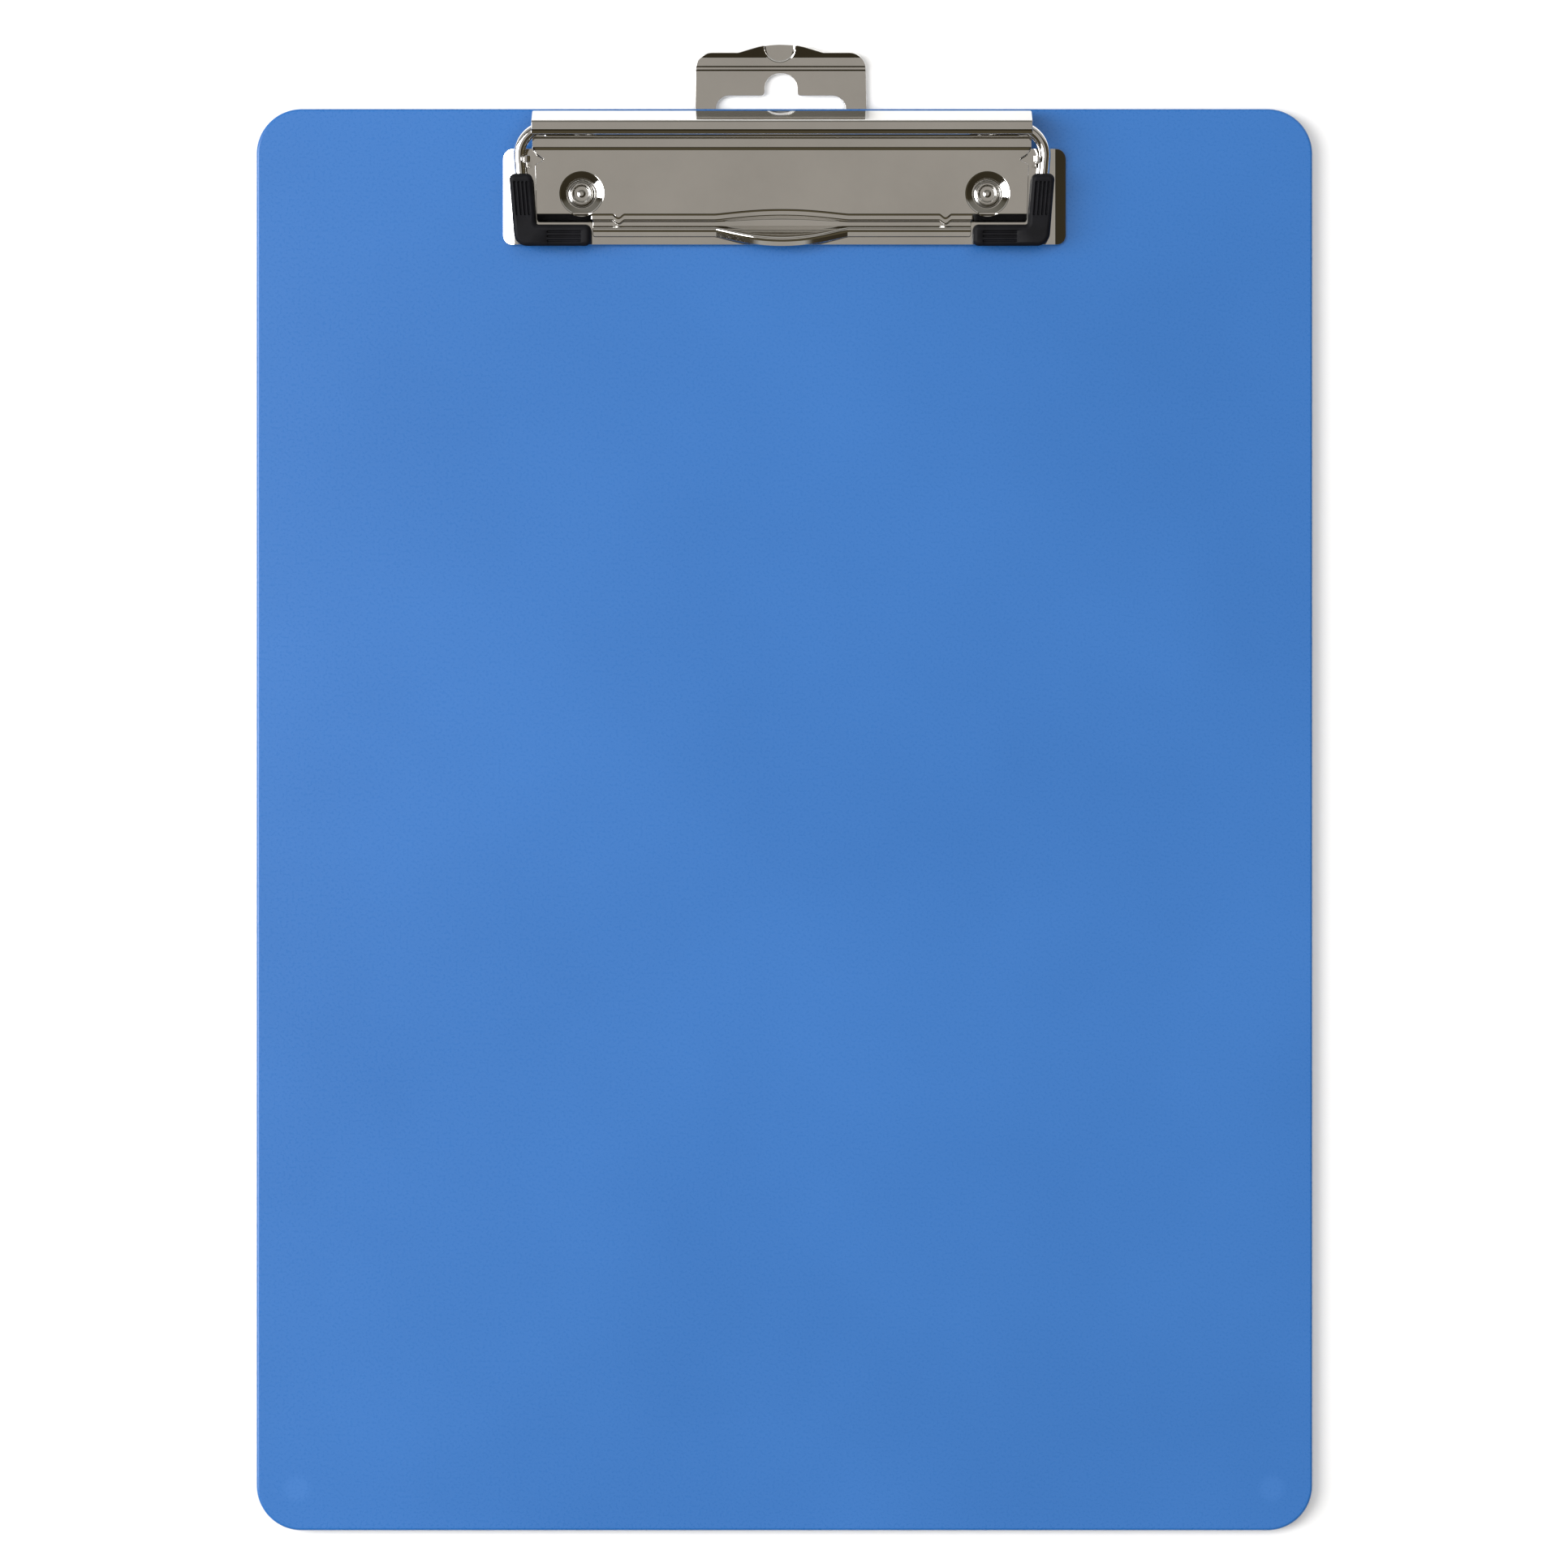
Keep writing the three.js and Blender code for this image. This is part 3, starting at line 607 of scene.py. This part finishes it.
def foot_plastic():
    """Pale satin plastic with a fleck."""
    m = Nodes("foot_plastic")
    fleck = m.noise(500, 4, 0.6)
    tint = m.ramp(fleck, (0.3, (0.28, 0.46, 0.78)), (0.7, (0.34, 0.52, 0.84)))
    m.link(tint, m.shader.inputs["Base Color"])
    m.link(m.span(fleck, 0.4, 0.6), m.shader.inputs["Roughness"])
    m.link(m.bump(fleck, 0.00002, 0.6), m.shader.inputs["Normal"])
    return m.material


plate_chrome = chrome("plate_chrome", (0.80, 0.79, 0.77), 0.035, 0.09, 0.000004)
wire_chrome = chrome("wire_chrome", (0.84, 0.83, 0.82), 0.03, 0.08, 0.000003)
rivet_chrome = chrome("rivet_chrome", (0.74, 0.73, 0.71), 0.12, 0.24, 0.00001)
blue_plastic = board_plastic()
rubber = black_rubber()
foot_material = foot_plastic()


# ---------------------------------------------------------------- board and feet

BOARD_EDGE = 0.6
BOARD_CORNER = 9.75
BOARD_REACH = 160

thickness = BOARD_HIGH.z - BOARD_LOW.z
level = (BOARD_HIGH.z + BOARD_LOW.z) / 2
flat_board = Profile([(-BOARD_REACH, level, 0), (BOARD_REACH, level, 0)])
board_loop = rectangle(
    BOARD_LOW.x,
    BOARD_LOW.y + BOARD_REACH,
    BOARD_HIGH.x,
    BOARD_HIGH.y + BOARD_REACH,
    BOARD_CORNER,
    3.0,
)
board = formed_sheet(
    flat_board,
    True,
    board_loop,
    [circle(side * RIVET_X, RIVET_Y + BOARD_REACH, RIVET_HOLE) for side in (-1, 1)],
    thickness=thickness,
    edge=(BOARD_EDGE, BOARD_EDGE),
)
board.piece("board_form", "board_body", blue_plastic, "board", "board")

foot_x = (FOOT_LOW.x + FOOT_HIGH.x) / 2
foot_y = (FOOT_LOW.y + FOOT_HIGH.y) / 2
foot_radius = (FOOT_HIGH.x - FOOT_LOW.x) / 2
foot_profile = fillet(
    [
        (0, FOOT_LOW.z),
        (foot_radius - 0.25, FOOT_LOW.z, 0.45),
        (foot_radius, FOOT_HIGH.z - 0.2, 0.1),
        (foot_radius, FOOT_HIGH.z),
        (0, FOOT_HIGH.z),
    ]
)
for name, side in (("left", -1), ("right", 1)):
    turned(foot_profile, side * foot_x, foot_y).piece(
        f"foot_{name}_form", "board_body", foot_material, "feet", f"foot_{name}"
    )


# ---------------------------------------------------------------- base plate with its lugs

base_middle = BASE_TOP - SHEET / 2
base_foot = BOARD_TOP + SHEET / 2 + 0.05
base_profile = Profile(
    fillet(
        [
            (BASE_LOW.x, base_foot),
            (-58.4, base_middle, 1.2),
            (58.4, base_middle, 1.2),
            (BASE_HIGH.x, base_foot),
        ],
        step=3.0,
    )
)


def riveted_plate(profile, low, high, corner):
    """A bent plate between the heights low.y and high.y, with a hole for each rivet."""
    loop = rectangle(-high.y, 0, -low.y, profile.length, corner)
    holes = [circle(-RIVET_Y, profile.find(side * RIVET_X), RIVET_HOLE, 40) for side in (-1, 1)]
    return formed_sheet(profile, False, loop, holes)


base = riveted_plate(base_profile, BASE_LOW, BASE_HIGH, 2.25)

LUG_Y = 142.2
LUG_HALF = 0.7
LUG_INNER_X = 54.15
LUG_REACH = 1.35
lug_x = CLIP_X + LUG_INNER_X + SHEET / 2
hook = BAR_Z - (BAR_Y - LUG_Y) * math.tan(BAIL_SLOPE) + WIRE_RADIUS + 0.3 + SHEET / 2
lug_profile = Profile(
    fillet(
        [
            (lug_x, base_middle - 0.2),
            (lug_x, hook, 0.55),
            (CLIP_X + LUG_INNER_X + LUG_REACH, hook),
        ],
        step=9.0,
    )
)
lug_loop = loop_of(
    [
        (-LUG_Y - LUG_HALF, 0, 0.2),
        (-LUG_Y + LUG_HALF, 0, 0.2),
        (-LUG_Y + LUG_HALF, lug_profile.length, 0.45),
        (-LUG_Y - LUG_HALF, lug_profile.length, 0.45),
    ],
    15.0,
)
lug = formed_sheet(lug_profile, False, lug_loop)
base.add(lug).add(lug.mirrored(CLIP_X))
base.piece("base_plate_form", "board_body", plate_chrome, "clip_plate", "base_plate")


# ---------------------------------------------------------------- back plate

CHANNEL_HALF, CHANNEL_FOOT = 22.9, 23.9
STOP_X, STOP_HALF, STOP_LENGTH, STOP_THICKNESS = 20.3, 0.5, 1.8, 1.1

flange = BOARD_LOW.z - SHEET / 2
channel = BACK_LOW.z + SHEET / 2
back_profile = Profile(
    fillet(
        [
            (BACK_LOW.x, flange),
            (-CHANNEL_FOOT, flange, 0.5),
            (-CHANNEL_HALF, channel, 0.5),
            (CHANNEL_HALF, channel, 0.5),
            (CHANNEL_FOOT, flange, 0.5),
            (BACK_HIGH.x, flange),
        ],
        step=9.0,
    )
)
back = riveted_plate(back_profile, BACK_LOW, BACK_HIGH, 3)
hanger_x = (HANGER_LOW.x + HANGER_HIGH.x) / 2
stop_z = BOARD_LOW.z - 0.65
stop_profile = Profile([(BACK_HIGH.y - STOP_LENGTH, stop_z, 0), (BACK_HIGH.y, stop_z, 0)])
for side in (-1, 1):
    x = hanger_x + side * STOP_X
    stop_loop = rectangle(x - STOP_HALF, 0, x + STOP_HALF, STOP_LENGTH, 0.2, 20.0)
    stop = formed_sheet(stop_profile, True, stop_loop, thickness=STOP_THICKNESS, edge=(0.1, 0.1))
    back.add(stop)
back.piece("back_plate_form", "board_body", plate_chrome, "clip_plate", "back_plate")


# ---------------------------------------------------------------- hanger

HANGER_BEND_Y = 163.2
WING_HALF, WING_TOP = 21.6, 145.9
HANGER_HALF, SHOULDER_HALF, SHOULDER_Y = 18.8, 18.4, 166.4
LIP_HALF, LIP_TOP = 9.2, 169.05
SLOT_HALF, SLOT_LOW, SLOT_HIGH = 14, 151.2, 157.0
NOTCH_HALF, NOTCH_TOP = 3.5, 161.8

hanger_middle = HANGER_LOW.z + SHEET / 2
hanger_profile = Profile(
    fillet(
        [
            (HANGER_LOW.y - 1, hanger_middle),
            (HANGER_BEND_Y - 0.75, hanger_middle, 0.4),
            (HANGER_BEND_Y - 0.35, hanger_middle + 0.18, 0.35),
            (HANGER_BEND_Y + 0.05, hanger_middle + 0.20, 0.35),
            (HANGER_BEND_Y + 0.40, hanger_middle + 0.38, 0.5),
            (HANGER_BEND_Y + 2.0, hanger_middle + 0.50, 1.6),
            (HANGER_BEND_Y + 5.6, hanger_middle + 2.06),
        ],
        step=3.0,
    )
)


def on_hanger(loop):
    return [(hanger_x + x, hanger_profile.find(y)) for x, y in loop]


hanger_plan = loop_of(
    [
        (-WING_HALF, HANGER_LOW.y, 1),
        (WING_HALF, HANGER_LOW.y, 1),
        (WING_HALF, WING_TOP, 0.6),
        (HANGER_HALF, WING_TOP, 0.6),
        (SHOULDER_HALF, SHOULDER_Y, 3.6),
        (LIP_HALF, SHOULDER_Y, 2),
        (0, LIP_TOP, 22),
        (-LIP_HALF, SHOULDER_Y, 2),
        (-SHOULDER_HALF, SHOULDER_Y, 3.6),
        (-HANGER_HALF, WING_TOP, 0.6),
        (-WING_HALF, WING_TOP, 0.6),
    ],
    3.0,
)
hanger_hole = loop_of(
    [
        (-SLOT_HALF, SLOT_LOW, 2.8),
        (SLOT_HALF, SLOT_LOW, 2.8),
        (SLOT_HALF, SLOT_HIGH, 2.8),
        (NOTCH_HALF, SLOT_HIGH, 0.8),
        (NOTCH_HALF, NOTCH_TOP, 3.2),
        (-NOTCH_HALF, NOTCH_TOP, 3.2),
        (-NOTCH_HALF, SLOT_HIGH, 0.8),
        (-SLOT_HALF, SLOT_HIGH, 2.8),
    ],
    6.0,
)
THUMB_X, THUMB_Y, THUMB_RADIUS = hanger_x - 0.25, 167.75, 3.55
THUMB_RINGS, RING_GAP = 9, 0.1


def smooth(t):
    t = min(max(t, 0.0), 1.0)
    return t * t * (3 - 2 * t)


def thumb_dimple(point):
    """Presses a flat half-round patch into the curled lip."""
    away = math.hypot(point.x - THUMB_X, point.y - THUMB_Y)
    share = smooth((THUMB_RADIUS + 0.15 - away) / 0.5)
    pressed_z = hanger_middle + 0.08
    point.z += (min(point.z, pressed_z) - point.z) * share
    return point


def unbroken(line):
    """The closed line as runs, cut where it leaves the sheet and comes back."""
    runs = [[]]
    for point in line + line[:1]:
        if runs[-1] and math.dist(runs[-1][-1], point) > 1.0:
            runs.append([])
        runs[-1].append(point)
    return [run for run in runs if len(run) > 1]


dimple_lines = []
for k in range(THUMB_RINGS):
    ring = circle(THUMB_X, THUMB_Y, THUMB_RADIUS + 0.3 - RING_GAP * k, 72)
    on_lip = [(x, y) for x, y in ring if HANGER_BEND_Y - 1 < y < 168.3]
    dimple_lines += unbroken([(x, hanger_profile.find(y)) for x, y in on_lip])
hanger = formed_sheet(
    hanger_profile,
    True,
    on_hanger(hanger_plan),
    [on_hanger(hanger_hole)],
    dimple_lines,
    shape=thumb_dimple,
)
hanger.piece("hanger_form", "hanger", plate_chrome, "clip_plate", "hanger")


# ---------------------------------------------------------------- rivets

rivet_top = RIVET_HIGH.z
rivet_profile = fillet(
    [
        (0, RIVET_LOW.z + 0.15),
        (1.1, RIVET_LOW.z + 0.15, 0.2),
        (1.4, RIVET_LOW.z, 0.2),
        (2.3, RIVET_LOW.z, 0.4),
        (2.6, RIVET_LOW.z + 0.6, 0.3),
        (2.6, BOARD_LOW.z - SHEET, 0.05),
        (1.5, BOARD_LOW.z - SHEET, 0.05),
        (1.5, BASE_TOP, 0.05),
        (3.05, BASE_TOP, 0.1),
        (3.05, rivet_top - 0.45, 0.3),
        (2.45, rivet_top - 0.2, 0.3),
        (2.25, rivet_top, 0.12),
        (1.95, rivet_top, 0.12),
        (1.65, rivet_top - 0.45, 0.25),
        (0.9, rivet_top - 0.5, 0.5),
        (0.4, rivet_top - 0.3, 0.4),
        (0, rivet_top - 0.3),
    ],
    step=12.0,
)
for name, side in (("left", -1), ("right", 1)):
    turned(rivet_profile, side * RIVET_X, RIVET_Y).piece(
        f"rivet_{name}_form", "board_body", rivet_chrome, "rivet", f"rivet_{name}"
    )


# ---------------------------------------------------------------- bail: wire and rubber corners

bail_frame = Matrix.Translation((CLIP_X, BAR_Y, BAR_Z)) @ Matrix.Rotation(BAIL_SLOPE, 4, "X")
LEG = (BAR_Y - 126.1) / math.cos(BAIL_SLOPE)
REAR_X, FRONT_X, TIP_X = 57.1, 55.3, 42.6
REAR_BEND, FRONT_BEND = 6.0, 2.8
wire_path = fillet(
    [
        (-TIP_X, -LEG),
        (-FRONT_X, -LEG, FRONT_BEND),
        (-REAR_X, 0, REAR_BEND),
        (REAR_X, 0, REAR_BEND),
        (FRONT_X, -LEG, FRONT_BEND),
        (TIP_X, -LEG),
    ],
    step=3.0,
)
wire = swept(wire_path, WIRE_RADIUS).moved(bail_frame)
wire.piece("wire_form", "bail", wire_chrome, "wire", "bail_wire")

RUBBER_HEIGHT = 4.5
SIDE_HALF, FRONT_HALF = 2.45, 2.3
REAR_DROP = 9.9
SLEEVE_END = 41.15
SLEEVE_SHIFT = 30


def leg_x(drop):
    return REAR_X - (REAR_X - FRONT_X) / LEG * drop


front_drop, inner_drop = LEG + FRONT_HALF, LEG - FRONT_HALF
rubber_loop = loop_of(
    [
        (SLEEVE_END, -front_drop, 1.3),
        (leg_x(front_drop) + SIDE_HALF, -front_drop, 2.9),
        (leg_x(REAR_DROP) + SIDE_HALF, -REAR_DROP, 1.3),
        (leg_x(REAR_DROP) - SIDE_HALF, -REAR_DROP, 1.3),
        (leg_x(inner_drop) - SIDE_HALF, -inner_drop, 0.5),
        (SLEEVE_END, -inner_drop, 1.3),
    ]
)
rubber_loop = [(x, y + SLEEVE_SHIFT) for x, y in rubber_loop]
FRONT_GROOVES, FRONT_PITCH, FRONT_FROM, FRONT_TO = 3, 0.95, 43.5, 50.4
SIDE_GROOVES, SIDE_PITCH, SIDE_FROM, SIDE_TO = 4, 0.85, 18.6, 11.8
grooves = []
for k in range(FRONT_GROOVES):
    y = -LEG + (1 - k) * FRONT_PITCH - 0.2 + SLEEVE_SHIFT
    grooves.append(((FRONT_FROM, y), (FRONT_TO, y)))
for k in range(SIDE_GROOVES):
    off = (k - 1.5) * SIDE_PITCH
    start = (leg_x(SIDE_FROM) + off, SLEEVE_SHIFT - SIDE_FROM)
    grooves.append((start, (leg_x(SIDE_TO) + off, SLEEVE_SHIFT - SIDE_TO)))
GROOVE_HALF, GROOVE_DEPTH, GROOVE_SOFT = 0.2, 0.5, 0.1


def groove_distance(x, y, start, stop):
    run = Vector(stop) - Vector(start)
    t = (Vector((x, y)) - Vector(start)).dot(run) / run.length_squared
    nearest = Vector(start) + run * min(max(t, 0.0), 1.0)
    return (Vector((x, y)) - nearest).length


def groove_relief(x, y):
    near = min(groove_distance(x, y, *g) for g in grooves)
    return -GROOVE_DEPTH * smooth((GROOVE_HALF + GROOVE_SOFT - near) / (2 * GROOVE_SOFT))


def capsule(start, stop, radius, count=8):
    """A closed line round the run from start to stop."""
    run = Vector(stop) - Vector(start)
    heading = math.atan2(run.y, run.x)
    out = []
    for centre, first in ((stop, heading - math.pi / 2), (start, heading + math.pi / 2)):
        for k in range(count + 1):
            t = first + math.pi * k / count
            out.append((centre[0] + radius * math.cos(t), centre[1] + radius * math.sin(t)))
    return out + out[:1]


groove_lines = []
for start, stop in grooves:
    for radius in (0.3, 0.25, 0.2, 0.15, 0.1):
        groove_lines.append(capsule(start, stop, radius))
flat_rubber = Profile([(-SLEEVE_SHIFT, 0, 0), (20, 0, 0)])
sleeve = formed_sheet(
    flat_rubber,
    True,
    rubber_loop,
    guides=groove_lines,
    thickness=RUBBER_HEIGHT,
    edge=(1.0, 1.0),
    relief=groove_relief,
)
for name, form in (("right", sleeve), ("left", sleeve.mirrored())):
    form.moved(bail_frame).piece(
        f"rubber_{name}_form", "bail", rubber, "rubber", f"rubber_corner_{name}"
    )


# ---------------------------------------------------------------- lever

ledge_z = BOARD_TOP + 4.05
panel_z = BOARD_TOP + 3.55
valley_z = BOARD_TOP + 2.4
rim_z = BOARD_TOP + 2.95
HEEL_SLOPE = math.radians(62)
HEEL_Y = 152.75
LEVER_HALF, PANEL_HALF, FRONT_END, BEAD_HALF = 53.9, 52.9, 40.85, 50.8
FOLD_Y = 129.4
ROOF_Y = 147.65
AFTER_LEDGE = 146.5
tangent_y = BAR_Y + BEAD_RADIUS * math.sin(HEEL_SLOPE)
tangent_z = BAR_Z + BEAD_RADIUS * math.cos(HEEL_SLOPE)
heel_z = tangent_z - (HEEL_Y - tangent_y) * math.tan(HEEL_SLOPE)
wall_y = BAR_Y - BEAD_RADIUS
crown_z = BAR_Z + BEAD_RADIUS
crown_y = tangent_y - (crown_z - tangent_z) / math.tan(HEEL_SLOPE)
lever_profile = Profile(
    fillet(
        [
            (126.0, valley_z - 0.05),
            (127.05, valley_z + 0.2, 0.3),
            (127.55, rim_z, 0.3),
            (128.1, valley_z, 0.4),
            (129.3, valley_z, 0.25),
            (129.6, panel_z - 0.37, 0.25),
            (130.5, panel_z - 0.27, 0.3),
            (130.9, panel_z, 0.3),
            (144.6, panel_z, 0.45),
            (145.2, ledge_z, 0.45),
            (wall_y, ledge_z, 0.6),
            (wall_y, crown_z, BEAD_RADIUS - 0.01),
            (crown_y, crown_z, 0.45),
            (HEEL_Y, heel_z),
        ],
        step=5.0,
    )
)
s_of = lever_profile.find
s_bead = s_of(wall_y + 0.01, s_of(AFTER_LEDGE))
s_roof = s_of(ROOF_Y, s_bead)
s_slot = lever_profile.find_height(BAR_Z - 1.9, s_of(AFTER_LEDGE))
right = [
    (FRONT_END, 0, 0.5),
    (FRONT_END, s_of(FOLD_Y), 0.4),
    (PANEL_HALF, s_of(FOLD_Y), 0.8),
    (53.3, s_of(141.4), 0.6),
    (51.2, s_of(142.5), 0.3),
    (53.05, s_of(143.7), 0.2),
    (LEVER_HALF, s_of(145.0), 0.2),
    (LEVER_HALF, s_slot, 0.2),
    (BEAD_HALF, s_slot, 0.3),
    (BEAD_HALF, s_roof, 0.3),
    (LEVER_HALF, s_roof, 0.3),
    (LEVER_HALF, lever_profile.length, 0.5),
]
left = [(-x, s, r) for x, s, r in reversed(right)]
lever_loop = loop_of(right + left, 9.0)

DISH_OUT, DISH_IN, DISH_DEPTH = 5.1, 3.35, 0.7
dish_centres = [(side * RIVET_X - CLIP_X, RIVET_Y) for side in (-1, 1)]
TAB_HALF, TAB_REACH, TAB_LIFT, TAB_PUSH = 14.5, 2.3, 2.2, 1.0
DART_X, DART_HALF, DART_PULL = 35.3, 1.35, 0.8


def dish(away):
    """How far the dish has sunk at a distance from its centre, with a softened brim."""
    if away >= DISH_OUT:
        return 0.0
    t = (DISH_OUT - away) / (DISH_OUT - DISH_IN)
    if t <= 0.12:
        return DISH_DEPTH * 2.0 * t * t
    return DISH_DEPTH * (t + 0.10 * (smooth(t / 0.25) - 1) * smooth(1 - t))


def pressed(point):
    """The thumb tab, the two darts and the two dishes, pressed into the straight sheet."""
    x, y, z = point
    reach = min(abs(x) / TAB_HALF, 1.0)
    tab = (1 - reach * reach) ** 1.25
    dart = smooth(1 - abs(abs(x) - DART_X) / DART_HALF)
    front = smooth((128.1 - y) / 0.55)
    out = Vector(point)
    out.y -= TAB_REACH * tab * front
    out.z += TAB_LIFT * tab * front
    if 129.2 < y < 130.75:
        corner = smooth((abs(x) - 40.9) / 0.5)
        out.z += (panel_z - 0.9 * (130.8 - y) - z) * corner
    bend = smooth((y - 129.1) / 0.5) * smooth((132.2 - y) / 1.2)
    out.y += (TAB_PUSH * tab - DART_PULL * dart) * bend
    out.z -= sum(dish(math.hypot(x - cx, y - cy)) for cx, cy in dish_centres)
    return out


TAB_LINES, DART_LINES = 29, 9
CORNER_LINES = (40.9, 41.02, 41.15, 41.28, 41.4)
DISH_RINGS = (5.1, 5.05, 5.0, 4.95, 4.9, 4.8, 4.6, 4.3, 4.0, 3.8, 3.65, 3.5)


def line_up(x, y):
    """A guide line from the front edge to y."""
    return [(x, -1), (x, s_of(y))]


lever_guides = [line_up(TAB_HALF * k / TAB_LINES, 132.3) for k in range(-TAB_LINES, TAB_LINES + 1)]
lever_guides += [line_up(side * x, 130.8) for x in CORNER_LINES for side in (-1, 1)]
for side in (-1, 1):
    for k in range(-DART_LINES, DART_LINES + 1):
        lever_guides.append(line_up(side * DART_X + DART_HALF * k / DART_LINES, 132.3))
dish_guides = []
for cx, cy in dish_centres:
    for radius in DISH_RINGS:
        ring = circle(cx, s_of(cy), radius, 96)
        dish_guides.append(ring + ring[:1])
dish_holes = [circle(cx, s_of(cy), DISH_IN, 96) for cx, cy in dish_centres]


def bead_end(u, s):
    """How much the bead's underside is relieved near its ends, over the wire's bend."""
    if not s_bead < s < s_roof + 3.5:
        return 0.0
    return 0.5 * smooth((abs(u) - 49.0) / 3.5) * smooth((s_roof + 3.0 - s) / 1.5)


lever = formed_sheet(
    lever_profile,
    True,
    lever_loop,
    dish_holes,
    lever_guides + dish_guides,
    shape=pressed,
    thin=bead_end,
)
SKIRT_FRONT, SKIRT_LENGTH, SKIRT_THICKNESS = 132.4, 8, 0.6
skirt_height = panel_z - (BOARD_TOP + 2.2)
skirt_profile = Profile([(SKIRT_FRONT, 0, 0), (SKIRT_FRONT + SKIRT_LENGTH, 0, 0)])
skirt_loop = loop_of(
    [
        (-skirt_height, 0, 0.5),
        (0, 0, 0.2),
        (0, SKIRT_LENGTH, 0.2),
        (-skirt_height, SKIRT_LENGTH, 0.5),
    ],
    20.0,
)
skirt = formed_sheet(skirt_profile, True, skirt_loop, thickness=SKIRT_THICKNESS)
for side in (-1, 1):
    x = side * (PANEL_HALF - SHEET / 2)
    stand = Matrix.Translation((x, 0, panel_z)) @ Matrix.Rotation(math.radians(-90), 4, "Y")
    lever.add(skirt.moved(stand))
lever = lever.moved(Matrix.Translation((CLIP_X, 0, 0)))
lever.piece("lever_form", "lever", plate_chrome, "clip_plate", "lever_plate")


# ---------------------------------------------------------------- studio


def area_light(name, place, aim, size, power):
    data = bpy.data.lights.new(name, "AREA")
    data.shape = "RECTANGLE"
    data.size, data.size_y = size
    data.energy = power
    light = bpy.data.objects.new(name, data)
    bpy.context.scene.collection.objects.link(light)
    light.location = place
    light.rotation_euler = (Vector(aim) - Vector(place)).to_track_quat("-Z", "Y").to_euler()
    return light


floor_z = min(FOOT_LOW.z, BACK_LOW.z, RIVET_LOW.z) * MM - 0.0001
floor_mesh = bpy.data.meshes.new("floor")
FLOOR_HALF = 6.0
floor_corners = [
    (x * FLOOR_HALF, y * FLOOR_HALF, floor_z) for x, y in ((-1, -1), (1, -1), (1, 1), (-1, 1))
]
floor_mesh.from_pydata(floor_corners, [], [(0, 1, 2, 3)])
floor = bpy.data.objects.new("floor", floor_mesh)
bpy.context.scene.collection.objects.link(floor)
paper = Nodes("floor_paper")
cloud = paper.ramp(paper.noise(3, 3), (0.3, 0.90), (0.7, 0.93))
paper.link(cloud, paper.shader.inputs["Base Color"])
paper.set(Roughness=0.9, Specular_IOR_Level=0.1)
floor_mesh.materials.append(paper.material)

world = bpy.data.worlds.new("studio")
world.use_nodes = True
bpy.context.scene.world = world
sky = Tree(world.node_tree)
background = sky.tree.nodes["Background"]
split = sky.new("ShaderNodeSeparateXYZ")
sky.link(sky.new("ShaderNodeTexCoord").outputs["Generated"], split.inputs["Vector"])

CEILING = (0.375, 0.350, 0.315)
# generated coordinates run from 0 to 1 across the sky
height = sky.math("SUBTRACT", sky.math("MULTIPLY", split.outputs["Z"], 2.0), 1.0)
open_side = sky.ramp(
    height,
    (0.0, (0.42, 0.41, 0.39)),
    (0.25, (0.22, 0.21, 0.19)),
    (0.45, (0.085, 0.078, 0.055)),
    (0.68, (0.060, 0.052, 0.035)),
    (0.78, CEILING),
    (1.0, CEILING),
)
near_side = sky.ramp(
    height,
    (0.0, (0.09, 0.075, 0.045)),
    (0.45, (0.03, 0.024, 0.014)),
    (0.72, (0.045, 0.036, 0.022)),
    (0.78, (0.42, 0.41, 0.38)),
    (0.88, CEILING),
    (1.0, CEILING),
)
# 1 towards -Y, 0 towards the other sides
facing = sky.math("SUBTRACT", 0.88, sky.math("MULTIPLY", split.outputs["Y"], 2.0))
limit = sky.new("ShaderNodeClamp")
sky.link(sky.math("MULTIPLY", facing, 4.0), limit.inputs["Value"])
studio_color = sky.mix(limit.outputs["Result"], open_side, near_side)
sky.link(studio_color, background.inputs["Color"])

area_light("left_softbox", (-1.1, 0.1, 1.15), (0, 0.0, 0), (0.9, 1.4), 30)
fill = area_light("overhead_fill", (0.3, 0.3, 2.4), (0, 0.05, 0), (2.4, 2.4), 40)
fill.visible_glossy = False

camera_data = bpy.data.cameras.new("camera")
camera = bpy.data.objects.new("camera", camera_data)
bpy.context.scene.collection.objects.link(camera)
VIEW_WIDTH = 0.3394
VIEW_MIDDLE_X = -0.0001
VIEW_RISE = 0.0338
CAMERA_HEIGHT = 1.2
SENSOR = 36.0
camera_data.sensor_width = SENSOR
camera_data.lens = SENSOR * CAMERA_HEIGHT / VIEW_WIDTH
camera_data.clip_end = 20
board_width = (BOARD_HIGH.x - BOARD_LOW.x) * MM
view_y = VIEW_RISE * board_width + OFFSET.y * MM
camera.location = (VIEW_MIDDLE_X, view_y, BOARD_TOP * MM + CAMERA_HEIGHT)
bpy.context.scene.camera = camera
bpy.context.scene.view_settings.view_transform = "Standard"
